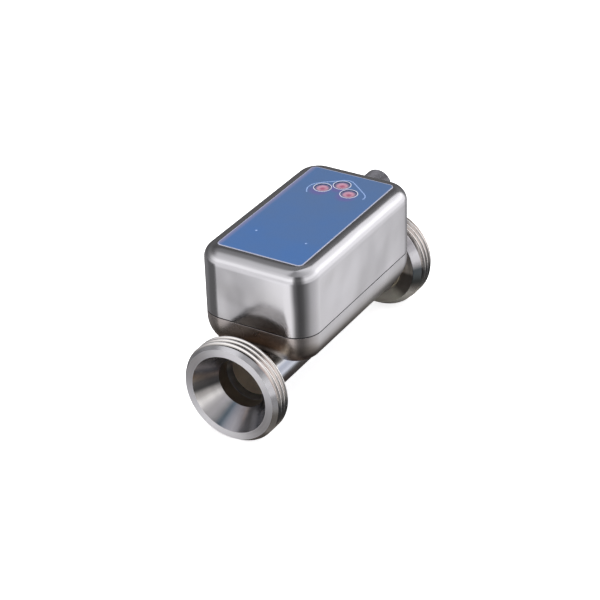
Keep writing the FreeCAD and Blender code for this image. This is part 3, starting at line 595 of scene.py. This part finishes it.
# Finishes of the pieces inside, by slot: name, colour, roughness, metallic and grain in mm
INNER = {
    "seal_black": ("Black rubber seal", "17171A", 0.7, 0.0, 0.5),
    "screw_steel": ("Plain steel screws", "A9A8A6", 0.3, 1.0, 0.3),
    "board_green": ("Circuit board solder mask", "1E5A3A", 0.4, 0.0, 0.8),
    "display_grey": ("Display glass", "22262B", 0.12, 0.0, 2.0),
    "sensor_black": ("Moulded black epoxy", "1A1A1C", 0.5, 0.0, 0.4),
    "wedge_tan": ("Machined wedge plastic", "A8906A", 0.45, 0.0, 0.6),
    "piezo_ceramic": ("Silvered ceramic", "C9C4B8", 0.4, 0.3, 0.3),
    "wire_red": ("Wire insulation", "A0201C", 0.45, 0.0, 0.5),
    "brass_bars": ("Turned brass", "C9A45A", 0.3, 1.0, 0.3),
    "contact_gold": ("Gold plated contacts", "E0B65C", 0.22, 1.0, 0.3),
    "insert_black": ("Moulded black insert", "151517", 0.5, 0.0, 0.4),
    "flex_amber": ("Polyimide film", "A4621E", 0.3, 0.0, 1.0),
}

# Painted reflection streaks round the turned pieces, light and dark: (degrees from the top towards +X, share
# of the steel's own colour)
FACE_STREAKS = [(-125, 1), (-82, (0.7, 0.7, 0.72)), (-40, (0.8, 0.8, 0.82)), (-12, 1), (60, 1),
                (95, (0.66, 0.66, 0.68)), (130, (0.7, 0.7, 0.72)), (165, 1)]
OUTER_STREAKS = [(-180, 0.8), (-60, 0.85), (-15, 1), (20, 1), (32, (0.8, 0.78, 0.78)),
                 (45, (0.8, 0.78, 0.78)), (52, (0.55, 0.54, 0.55)), (60, (0.6, 0.59, 0.6)), (67, 1),
                 (80, (1, 0.99, 0.98)), (86, (0.2, 0.23, 0.24)), (104, (0.2, 0.23, 0.24)), (112, 0.6),
                 (122, 1), (152, (0.95, 0.95, 0.92)), (163, 0.5), (180, 0.6)]
THREAD_STREAKS = [(-180, 0.8), (-60, 0.85), (-15, 1), (86, 1), (94, (0.3, 0.32, 0.35)),
                  (114, (0.3, 0.32, 0.35)), (124, 1), (152, (0.95, 0.95, 0.92)), (180, 0.6)]
BACK_STREAKS = [(74, 0.8), (79, 1), (90, 1), (95, (0.24, 0.23, 0.24)), (125, (0.3, 0.29, 0.3)),
                (140, (0.95, 0.98, 0.97)), (180, 0.8)]
# The neck is painted dark brown round most of its turn and keeps the steel's colour from 60 to 110 degrees:
# painted reflection and shade
NECK_STREAKS = [(-180, (0.5, 0.46, 0.4)), (-110, (0.3, 0.22, 0.17)), (48, (0.24, 0.17, 0.13)), (60, 1),
                (110, 1), (180, (0.5, 0.46, 0.4))]
# The tube's broad bands are painted reflections too, the same on both sides
TUBE_SIDE = [(58, (1, 0.99, 0.94)), (70, (0.5, 0.53, 0.6)), (84, (0.85, 0.88, 0.95)), (95, (0.5, 0.55, 0.62))]
TUBE_STREAKS = [(-degrees, tone) for degrees, tone in reversed(TUBE_SIDE)] + TUBE_SIDE
CHAMFER_STREAKS = [(-130, 1), (-120, (0.72, 0.72, 0.74)), (-110, (0.5, 0.5, 0.52)),
                   (-100, (0.33, 0.33, 0.34)), (-90, (0.22, 0.22, 0.23)), (-80, (0.13, 0.13, 0.14)),
                   (-70, (0.28, 0.28, 0.29)), (-60, 0.9), (-50, 1)]
FUNNEL_STREAKS = [(-180, (0.59, 0.58, 0.6)), (-168, (0.4, 0.42, 0.46)), (-160, (0.26, 0.34, 0.4)),
                  (-152, 0.6), (-140, (1, 0.98, 0.97)), (-122, (1, 0.98, 0.93)), (-110, (0.6, 0.58, 0.54)),
                  (-101, (0.2, 0.2, 0.19)), (-90, (0.34, 0.32, 0.3)), (-80, (1, 0.85, 0.72)),
                  (-70, (0.66, 0.6, 0.58)), (-40, (0.75, 0.73, 0.74)), (0, 0.75), (60, 0.8),
                  (100, (0.43, 0.43, 0.44)), (122, (0.2, 0.2, 0.21)), (152, (0.2, 0.2, 0.21)),
                  (170, (0.57, 0.56, 0.58)), (180, (0.59, 0.58, 0.6))]
# Painted shade in the thread's roots, by the same angle
ROOT_TONES = [(-40, 0.1), (30, (0.09, 0.08, 0.08)), (40, (0.66, 0.59, 0.57)), (80, (0.66, 0.62, 0.6)),
              (90, 0.1)]

# Stainless finishes with rings: colour, ring width in mm, roughness, anisotropy, ring height in mm, painted
# reflection streaks.
# The fresh cuts carry painted reflection streaks, the back and the neck are duller, the drawn tube has broad
# soft bands of painted reflection, the step in the bore is painted darker as shade, and the pickled bore is
# matt.
RINGED = {
    "Faced back": ("E6E2DC", 1.6, 0.36, 0.4, 0.0006, BACK_STREAKS),
    "Heat-tinted neck": ("E2DACA", 1.6, 0.36, 0.3, 0.001, NECK_STREAKS),
    "Turned chamfer": ("FBFBFD", 0.8, 0.2, 0.5, 0.0015, CHAMFER_STREAKS),
    "Faced steel": ("FBFBFD", 0.8, 0.38, 1.0, 0.0015, FACE_STREAKS),
    "Bored funnel": ("FBFBFD", 0.8, 0.22, 0.8, 0.0015, FUNNEL_STREAKS),
    "Turned stainless plug": ("9E9EA3", 0.8, 0.3, 0.8, 0.003, None),
    "Drawn stainless tube": ("EDEFF2", 6.0, 0.16, 0.3, 0.001, TUBE_STREAKS),
    "Pickled bore": ("F8F0E4", 2.0, 0.5, 0.2, 0.02, None),
    # The bore behind the funnel is coloured darker than the steel: painted shade deep in the hole
    "Dull step in the bore": ("968C80", 1.0, 0.45, 0.3, 0.01, None),
}
END_FINISHES = ("Turned stainless steel", "Cut pipe thread", "Dull step in the bore", "Faced steel",
                "Bored funnel", "Faced back", "Heat-tinted neck", "Turned chamfer")

# Brightness of the studio walls by compass angle, below, at and above the height of the lens
LOW_WALLS = [(-180, 0.2), (-170, 0.14), (-135, 0.13), (-128.5, 0.42), (-125, 0.68), (-122, 0.95),
             (-118, 1.14), (-86, 1.14), (-77, 0.66), (-68, 0.18), (-52, 0.07), (-35, 0.1), (-17, 0.26),
             (0, 0.5), (22, 0.64), (45, 0.82), (56, 0.9), (65, 0.58), (76, 0.5), (86, 0.24), (102, 0.28),
             (130, 0.24), (180, 0.2)]
MIDDLE_WALLS = [(-180, 0.16), (-165, 0.25), (-152, 0.5), (-138, 0.75), (-122, 0.92), (-74, 1),
                (-68, 0.35), (-60, 0.1), (-42, 0.1), (-30, 0.4), (-22, 0.75), (10, 0.85), (34, 1),
                (45, 1.15), (74, 1.15), (78, 0.8), (82, 0.2), (108, 0.11), (130, 0.11), (152, 0.1),
                (180, 0.16)]
HIGH_WALLS = [(-180, 0.34), (-164, 0.6), (-142, 0.78), (-112, 0.75), (-80, 0.32), (-50, 0.4), (-10, 0.6),
              (50, 1), (74, 1), (83, 0.22), (142, 0.26), (165, 0.28), (180, 0.34)]
# Tint of the studio by height, from straight down at -1 to straight up at 1
HEIGHT_TINTS = [(-1, (0.22, 0.2, 0.18)), (-0.74, (0.34, 0.31, 0.28)), (-0.6, (0.85, 0.82, 0.8)),
                (-0.5, (1, 0.98, 1.01)), (0.1, (1, 0.98, 1.01)), (0.18, (1.3, 1.28, 1.31)),
                (0.4, (1.3, 1.28, 1.31)), (0.52, (0.95, 0.93, 0.96)), (0.9, (0.9, 0.89, 0.92)),
                (1, (0.85, 0.84, 0.87))]


# Operators, one for each piece or group of like pieces

def end_finishes(piece, face_y, s):
    """Gives each face of a turned end the first finish that fits its place and slope."""
    for name in END_FINISHES[1:]:
        piece.data.materials.append(bpy.data.materials[name])
    near = 0.1 * MM
    for face in piece.data.polygons:
        out = math.hypot(face.center.x, face.center.z)
        side = Vector((face.center.x, 0, face.center.z)).normalized().dot(face.normal)
        depth = abs(face.center.y - face_y)
        flank = out > ROOT_FROM and 0.3 < side < 0.6
        root_or_crest = side > 0.96 and (ROOT_FROM < out < ROOT_TO or out > THREAD_R - near / 2)
        flat = abs(face.normal.y) > 0.95
        fits = {
            "Dull step in the bore": out < s.bore_r + 3 * near and side < 0.5,
            "Bored funnel": out < s.mouth_r and side < -0.5,
            "Faced steel": depth < near,
            "Faced back": flat and BACK_FROM < depth < BACK_TO and out > NECK_R + NECK_FILLET,
            "Heat-tinted neck": TUBE_R + near < out < NECK_R + 0.5 * MM and side > 0.3,
            "Turned chamfer": depth < s.chamfer + near and 0.7 < side < 0.9,
            "Cut pipe thread": flank or root_or_crest,
        }
        finish = next((name for name, fit in fits.items() if fit), END_FINISHES[0])
        face.material_index = END_FINISHES.index(finish)


def turned_end(name, node, s, face, back, steps, foot, groove):
    """Turned end with its funnel, chamfer and thread; steps lead down its outside to the neck's foot."""
    way = 1 if back > face else -1
    full = abs(back - face)
    outline = [(s.mouth_r, 0), (s.ring_r, 0), (THREAD_R, s.chamfer), *steps,
               (NECK_R + NECK_FILLET, foot), (NECK_R, foot + NECK_FILLET), (NECK_R, full),
               (TUBE_R, full), (TUBE_R, s.stop), (s.bore_r, s.stop), (s.bore_r, s.funnel)]
    piece = turned(name, [(r, face + way * depth) for r, depth in outline])
    start, turns, degrees = groove
    combine(piece, thread_groove("Groove", THREAD_R, s.pitch, s.depth, s.pitch - s.crest, s.root,
                                 start, turns, degrees=degrees))
    smooth(piece, 28)
    dress(piece, "Turned stainless steel", "turned_steel", node)
    end_finishes(piece, face, s)


class BuildInlet(Operator):
    """Turned inlet end with its funnel and thread"""
    bl_idname = "flowsensor.inlet"
    bl_label = "Inlet end"

    def execute(self, context):
        s = context.scene.flow_ends
        edge, foot = 0.2 * MM, 8.8 * MM
        steps = [(THREAD_R, foot - edge), (THREAD_R - edge, foot)]
        # The groove starts at the bottom, out of sight: (place, turns, degrees)
        groove = (INLET_FACE + 0.45 * s.pitch, 3.75, 180)
        turned_end("inlet_end", "inlet_fitting", s, INLET_FACE, INLET_BACK, steps, foot, groove)
        return {"FINISHED"}


class BuildOutlet(Operator):
    """Turned outlet end with its thread, undercut and tapered shoulder"""
    bl_idname = "flowsensor.outlet"
    bl_label = "Outlet end"

    def execute(self, context):
        s = context.scene.flow_ends
        undercut, shoulder, taper = 18.9 * MM, 20.6 * MM, 18.6 * MM
        foot = 13.9 * MM
        steps = [(THREAD_R, 8.3 * MM), (undercut, 8.7 * MM), (undercut, 9.9 * MM), (shoulder, 10.4 * MM),
                 (shoulder, 10.6 * MM), (taper, foot - 0.2 * MM), (taper - 0.3 * MM, foot)]
        groove = (OUTLET_FACE - 9.2 * MM, 4.6, 31)
        turned_end("outlet_end", "outlet_fitting", s, OUTLET_FACE, OUTLET_BACK, steps, foot, groove)
        return {"FINISHED"}


class BuildTube(Operator):
    """Plain measuring tube"""
    bl_idname = "flowsensor.tube"
    bl_label = "Measuring tube"

    def execute(self, context):
        bore = TUBE_R - 1.5 * MM
        edge = 0.15 * MM
        flare, run = 0.75 * MM, 3.0 * MM
        outline = [(bore, TUBE_START + run), (bore + flare, TUBE_START), (TUBE_R - edge, TUBE_START),
                   (TUBE_R, TUBE_START + edge), (TUBE_R, TUBE_END - edge), (TUBE_R - edge, TUBE_END),
                   (bore + flare, TUBE_END), (bore, TUBE_END - run)]
        piece = turned("measuring_tube", outline)
        smooth(piece, 50)
        dress(piece, "Drawn stainless tube", "tube_steel", "measuring_tube")
        piece.data.materials.append(bpy.data.materials["Pickled bore"])
        for face in piece.data.polygons:
            out = math.hypot(face.center.x, face.center.z)
            face.material_index = int(out < bore + 0.1 * MM)
        return {"FINISHED"}


def bowl(name, inset, floor, top, s):
    """Block whose underside is drawn in, ring by ring, to a deep rounding."""
    half = (COVER_HALF_X - inset, COVER_HALF_Y - inset)
    drop = s.round_down - (floor - PAN_BOTTOM)
    go_in = s.round_in - inset / 2
    piece = block(name, half, floor + drop, top, s.corner - inset, 14)
    edit(piece)
    pick("FACE", lambda f: f.normal.z < -0.9)
    steps = 16
    x, y, z = half[0], half[1], floor + drop
    for i in range(1, steps + 1):
        turn = math.pi / 2 * i / steps
        inward = go_in * (1 - math.cos(turn))
        next_x, next_y = half[0] - inward, half[1] - inward
        next_z = floor + drop * (1 - math.sin(turn))
        bpy.ops.mesh.extrude_region_move(TRANSFORM_OT_translate={"value": (0, 0, next_z - z)})
        bpy.ops.transform.resize(value=(next_x / x, next_y / y, 1), center_override=(0, 0, next_z))
        x, y, z = next_x, next_y, next_z
    close_up()
    return piece


class BuildPan(Operator):
    """Pan under the housing, with its deep rounding, screw pockets and seat for the tube"""
    bl_idname = "flowsensor.pan"
    bl_label = "Base pan"

    def execute(self, context):
        s = context.scene.flow_housing
        boss_r, boss_low, pocket_top = 4.3 * MM, 9.5 * MM, 12.5 * MM
        past = 1 * MM
        piece = bowl("base_pan", 0.0, PAN_BOTTOM, SEAM_LOW, s)
        round_rim(piece, SEAM_LOW, s.seam_edge, 3)
        combine(piece, bowl("Hollow", s.wall, PAN_BOTTOM + s.wall, SEAM_LOW + past, s))
        for x, y in POCKETS:
            boss = rod("Boss", boss_r, boss_low, SEAM_LOW - 0.2 * MM, (x, y, 0), True, 48)
            combine(piece, boss, "UNION")
            combine(piece, rod("Pocket", s.pocket_r, 0, pocket_top, (x, y, 0), True, 48))
        combine(piece, rod("Tube seat", TUBE_R + 0.02 * MM, -COVER_HALF_Y - past, COVER_HALF_Y + past))
        smooth(piece, 40)
        dress(piece, "Drawn stainless pan", "drawn_steel", "base_pan")
        return {"FINISHED"}


class BuildCover(Operator):
    """Deep-drawn cover with the window's recess"""
    bl_idname = "flowsensor.cover"
    bl_label = "Housing cover"

    def execute(self, context):
        s = context.scene.flow_housing
        half = (COVER_HALF_X, COVER_HALF_Y)
        past = 1 * MM
        roof_low, opening_low = COVER_TOP - 3.5 * MM, COVER_TOP - 8 * MM
        plug_hole, wall_in, wall_out = 6.1 * MM, 38 * MM, 45 * MM
        piece = block("housing_cover", half, SEAM_HIGH, COVER_TOP, s.corner, 20)
        round_rim(piece, COVER_TOP, s.top_edge, 16)
        round_rim(piece, SEAM_HIGH, s.seam_edge / 2, 1)
        inner = (half[0] - s.wall, half[1] - s.wall)
        combine(piece, block("Hollow", inner, SEAM_HIGH - past, roof_low, s.corner - s.wall))
        window = (half[0] - s.window_x, half[1] - s.window_y)
        recess = block("Recess", window, PANE_LOW - 0.4 * MM, COVER_TOP + past, s.window_corner, 8)
        combine(piece, recess)
        hole = (window[0] - s.ledge, window[1] - s.ledge)
        combine(piece, block("Opening", hole, opening_low, COVER_TOP, 1 * MM, 4))
        combine(piece, rod("Plug hole", plug_hole, wall_in, wall_out, (0, 0, PLUG_Z), sides=96))
        smooth(piece, 40)
        dress(piece, "Drawn stainless cover", "drawn_steel", "housing_cover")
        return {"FINISHED"}


class BuildWindow(Operator):
    """Blue pane with its bevelled edge and the holes for the keys"""
    bl_idname = "flowsensor.window"
    bl_label = "Window pane"

    def execute(self, context):
        s = context.scene.flow_window
        piece = block("window_pane", (PANE_HALF_X, PANE_HALF_Y), PANE_LOW, PANE_TOP, PANE_CORNER, 10)
        round_rim(piece, PANE_TOP, s.bevel, 3)
        hole_low, hole_high = 40 * MM, 60 * MM
        for x, y in KEYS.values():
            hole = rod("Key hole", s.key_r + 0.05 * MM, hole_low, hole_high, (x, y, 0), True, 96)
            combine(piece, hole)
        smooth(piece, 30)
        dress(piece, "Blue printed glass", "blue_glass", "window_panel")
        piece.data.materials.append(bpy.data.materials["Ground glass edge"])
        for face in piece.data.polygons:
            face.material_index = int(abs(face.normal.z) < 0.9 and face.center.z > PANE_TOP - s.bevel)
        return {"FINISHED"}


def print_ring(name, material, inner, outer, x, y, sides):
    """Raised ring of print on the pane."""
    outline = [(inner, PRINT_LOW), (inner, PRINT_HIGH), (outer, PRINT_HIGH), (outer, PRINT_LOW)]
    piece = turned(name, outline, (x, y, 0), True, sides)
    dress(piece, material, "blue_glass")
    return piece


class BuildKeys(Operator):
    """Lenses of the three optical keys, with the print round them"""
    bl_idname = "flowsensor.keys"
    bl_label = "Keys"

    def execute(self, context):
        s = context.scene.flow_window
        centre_r, flange_r, edge = 0.02 * MM, 3.8 * MM, 0.1 * MM
        # Shallow dish in the lens: (radius, depth) from its rim to its middle
        dish = [(2.5 * MM, 0), (2.2 * MM, 0.15 * MM), (1.2 * MM, 0.25 * MM), (centre_r, 0.28 * MM)]
        ring_r = s.key_r + 0.08 * MM
        for node, (x, y) in KEYS.items():
            floor, top = span(node, 2)
            outline = [(centre_r, floor), (flange_r, floor), (flange_r, PANE_LOW), (s.key_r, PANE_LOW),
                       (s.key_r, top - edge), (s.key_r - edge, top), *((r, top - deep) for r, deep in dish)]
            lens = turned(node + "_face", outline, (x, y, 0), True, 96)
            smooth(lens, 30)
            dress(lens, "Red tinted lens", "key_red", node)
            smooth(print_ring("ring_of_" + node, "Pale print", ring_r, ring_r + s.ring, x, y, 96), 30)
        return {"FINISHED"}


class BuildOutline(Operator):
    """Thin pale line printed round the keys, and the two small marks"""
    bl_idname = "flowsensor.outline"
    bl_label = "Printed outline"

    def execute(self, context):
        s = context.scene.flow_window
        deselect()
        bpy.ops.curve.primitive_nurbs_path_add(location=(0, 0, 0))
        line = bpy.context.object
        # Corners that steer the line and the middles of the marks, in mm on the pane
        route = [(-9.6, 15.6), (-10.9, 17.6), (-11.4, 20.0), (-10.8, 22.9), (-8.4, 25.4), (-4.0, 28.7),
                 (-0.6, 31.4), (1.0, 31.8), (2.6, 31.3), (5.6, 29.0), (9.6, 25.9), (12.6, 23.4),
                 (13.4, 21.4), (13.0, 20.2)]
        marks = {"pale_mark_0": (-10.5, -20.5), "pale_mark_1": (11.5, -20.5)}
        spline = line.data.splines[0]
        spline.points.add(len(route) - len(spline.points))
        for point, (x, y) in zip(spline.points, route):
            point.co = (x * MM, y * MM, 0, 1)
        spline.order_u = 3
        spline.use_endpoint_u = True
        line.data.bevel_depth = s.line / 2
        line.data.bevel_resolution = 2
        line.data.resolution_u = 8
        bpy.ops.object.convert(target="MESH")
        line = bpy.context.object
        line.scale = (1, 1, 0.08)
        line.location = (0, 0, PANE_TOP)
        line = named("outline_round_the_keys")
        smooth(line, 60)
        dress(line, "Outline print", "blue_glass")
        middle, edge = 0.01 * MM, 0.45 * MM
        for name, (x, y) in marks.items():
            print_ring(name, "Outline print", middle, edge, x * MM, y * MM, 32)
        return {"FINISHED"}


class BuildPlug(Operator):
    """Round cable plug with its flange and fine thread"""
    bl_idname = "flowsensor.plug"
    bl_label = "Cable plug"

    def execute(self, context):
        hole, neck, sleeve, flange = 5.0 * MM, 5.4 * MM, 6.0 * MM, 7.6 * MM
        face, thick, edge = 43.6 * MM, 2.0 * MM, 0.3 * MM
        lead, rim = 0.6 * MM, 0.2 * MM
        neck_end = face + 3.0 * MM
        pitch, depth, mouth, root = 1.0 * MM, 0.5 * MM, 0.85 * MM, 0.2 * MM
        outline = [(hole, PLUG_START), (sleeve, PLUG_START), (sleeve, face), (flange - edge, face),
                   (flange, face + edge), (flange, face + thick - edge), (flange - edge, face + thick),
                   (neck, face + thick), (neck, neck_end), (sleeve, neck_end + lead),
                   (sleeve, PLUG_END - lead), (neck, PLUG_END), (hole + rim, PLUG_END),
                   (hole, PLUG_END - rim)]
        piece = turned("cable_plug_sleeve", outline, (0, 0, PLUG_Z), sides=128)
        combine(piece, thread_groove("Fine groove", sleeve, pitch, depth, mouth, root,
                                     face + 2.6 * MM, 12, (0, 0, PLUG_Z)))
        smooth(piece, 28)
        dress(piece, "Turned stainless plug", "turned_steel", "connector_body")
        return {"FINISHED"}


class FinishInside(Operator):
    """Finishes for the seals, screws and everything inside the housing"""
    bl_idname = "flowsensor.inside"
    bl_label = "Seals, screws and inside"

    def execute(self, context):
        for name, code, *looks in INNER.values():
            plain_finish(name, linear(code), *looks)
        for part in frame["record"]["subparts"]:
            slot = part["material_slot"]
            if slot in INNER:
                for place in frame["nodes"][part["node"]].material_slots:
                    place.material = bpy.data.materials[INNER[slot][0]]
        return {"FINISHED"}


class MakeMaterials(Operator):
    """Steel, glass and print of the outer pieces"""
    bl_idname = "flowsensor.materials"
    bl_label = "Materials"

    def execute(self, context):
        scene = context.scene
        ends, housing, window = scene.flow_ends, scene.flow_housing, scene.flow_window
        turned_stainless("Turned stainless steel", tuple(ends.colour), 0.8, 0.2, 0.5, 0.002, OUTER_STREAKS)
        for name, (code, *looks) in RINGED.items():
            turned_stainless(name, linear(code), *looks)
        cut_thread("Cut pipe thread", linear("F4F1EC"), THREAD_R - ends.depth, THREAD_R, 0.2)
        drawn_stainless("Drawn stainless cover", tuple(housing.colour), 0.17, 1.0, 26.0)
        drawn_stainless("Drawn stainless pan", tuple(housing.colour), 0.29, 0.6, 22.0, welded=True)
        printed_glass("Blue printed glass", tuple(window.blue))
        plain_finish("Ground glass edge", linear("B4B7C6"), 0.5, grain_mm=0.3, spread=0.2)
        for name, colour in (("Pale print", window.pale), ("Outline print", window.outline)):
            plain_finish(name, tuple(colour), 0.3, grain_mm=1.0, spread=0.05, coat=1.0)
        key_lens("Red tinted lens", tuple(window.red), window.key_r)
        return {"FINISHED"}


class BuildStage(Operator):
    """Pale floor, soft light and the camera"""
    bl_idname = "flowsensor.stage"
    bl_label = "Stage"

    def execute(self, context):
        lit_table("Opal table")
        soft_card("Brown card")
        floor_z = -THREAD_R
        floor = self.sheet("pale_floor", 6, (0, 0, floor_z), "Opal table")
        floor.visible_glossy = False
        # Painted shadow: a dark sheet seen only in the steel's reflections, where the floor lies in shade
        card = self.sheet("brown_card", 0.2, (-0.008, 0.006, floor_z + 0.4 * MM), "Brown card")
        card.visible_camera = card.visible_diffuse = card.visible_shadow = False
        self.surroundings(context)
        bpy.ops.object.light_add(type="AREA", location=(0, 0, 1.6))
        soft = bpy.context.object
        soft.name = "overhead_softbox"
        soft.data.shape = "DISK"
        soft.data.size = 2.2
        soft.data.energy = 34
        soft.visible_glossy = False
        self.camera(context)
        context.scene.view_settings.view_transform = "Standard"
        return {"FINISHED"}

    def sheet(self, name, size, place, material):
        """Flat square of the stage."""
        deselect()
        bpy.ops.mesh.primitive_plane_add(size=size, location=place)
        sheet = bpy.context.object
        sheet.name = name
        sheet.data.materials.append(bpy.data.materials[material])
        return sheet

    def surroundings(self, context):
        """Light and dark walls of the studio, as the steel reflects them."""
        world = bpy.data.worlds.new("Studio")
        context.scene.world = world
        world.use_nodes = True
        tree = world.node_tree
        tree.nodes.clear()
        x, y, z = put(tree, "SeparateXYZ", _0=put(tree, "TexCoord").outputs["Generated"]).outputs
        light = by_angle(tree, y, x, LOW_WALLS)
        for walls, (start, end) in ((MIDDLE_WALLS, (-0.26, -0.10)), (HIGH_WALLS, (0.60, 0.78))):
            mix = put(tree, "MapRange", {"interpolation_type": "SMOOTHSTEP", "1": start, "2": end}, Value=z)
            light = put(tree, "MixRGB", Fac=mix, Color1=light, Color2=by_angle(tree, y, x, walls))
        height = put(tree, "MapRange", {"1": -1.0, "2": 1.0}, Value=z)
        tint = put(tree, "ValToRGB", {"stops": [((level + 1) / 2, colour) for level, colour in HEIGHT_TINTS]},
                   Fac=height)
        both = put(tree, "MixRGB MULTIPLY", {"Fac": 1.0}, Color1=light, Color2=tint)
        glow = put(tree, "Background", {"Strength": 1.0}, Color=both)
        put(tree, "OutputWorld", Surface=glow)

    def camera(self, context):
        """Camera where the photograph's was, solved from it."""
        turn, rise, roll = math.radians(31.73), math.radians(30.87), math.radians(-1.82)
        distance, aside, lift = 0.7645, -0.00375, -0.0058
        aim = Vector((0, 0, 0.01644))
        back = Vector((math.sin(turn) * math.cos(rise), -math.cos(turn) * math.cos(rise), math.sin(rise)))
        right = Vector((math.cos(turn), math.sin(turn), 0))
        up = back.cross(right)
        right, up = (math.cos(roll) * right + math.sin(roll) * up,
                     math.cos(roll) * up - math.sin(roll) * right)
        place = aim + back * distance + right * aside + up * lift
        facing = Matrix((right, up, back)).transposed().to_euler()
        bpy.ops.object.camera_add(location=place, rotation=facing)
        camera = bpy.context.object
        camera.data.sensor_width = 36.0
        camera.data.lens = 116.25
        camera.data.clip_start = 0.01
        context.scene.camera = camera


class FlowPanel(Panel):
    """Sizes, colours and steps of the flow sensor"""
    bl_idname = "VIEW3D_PT_flow_sensor"
    bl_label = "Flow sensor"
    bl_space_type = "VIEW_3D"
    bl_region_type = "UI"
    bl_category = "Flow sensor"

    def draw(self, context):
        for key, sizes in GROUPS.items():
            box = self.layout.box()
            for name in sizes.__annotations__:
                box.prop(getattr(context.scene, key), name)
        for step in STEPS:
            self.layout.operator(step.bl_idname)


STEPS = (MakeMaterials, BuildInlet, BuildOutlet, BuildTube, BuildPan, BuildCover, BuildWindow, BuildKeys,
         BuildOutline, BuildPlug, FinishInside, BuildStage)
GROUPS = {"flow_ends": EndSizes, "flow_housing": HousingSizes, "flow_window": WindowSizes}
KINDS = (*GROUPS.values(), *STEPS, FlowPanel)


def register():
    for kind in KINDS:
        bpy.utils.register_class(kind)
    for name, group in GROUPS.items():
        setattr(bpy.types.Scene, name, bpy.props.PointerProperty(type=group))


def unregister():
    for name in GROUPS:
        delattr(bpy.types.Scene, name)
    for kind in reversed(KINDS):
        bpy.utils.unregister_class(kind)


def main():
    register()
    for step in STEPS:
        group, name = step.bl_idname.split(".")
        getattr(getattr(bpy.ops, group), name)()


if __name__ == "__main__":
    main()
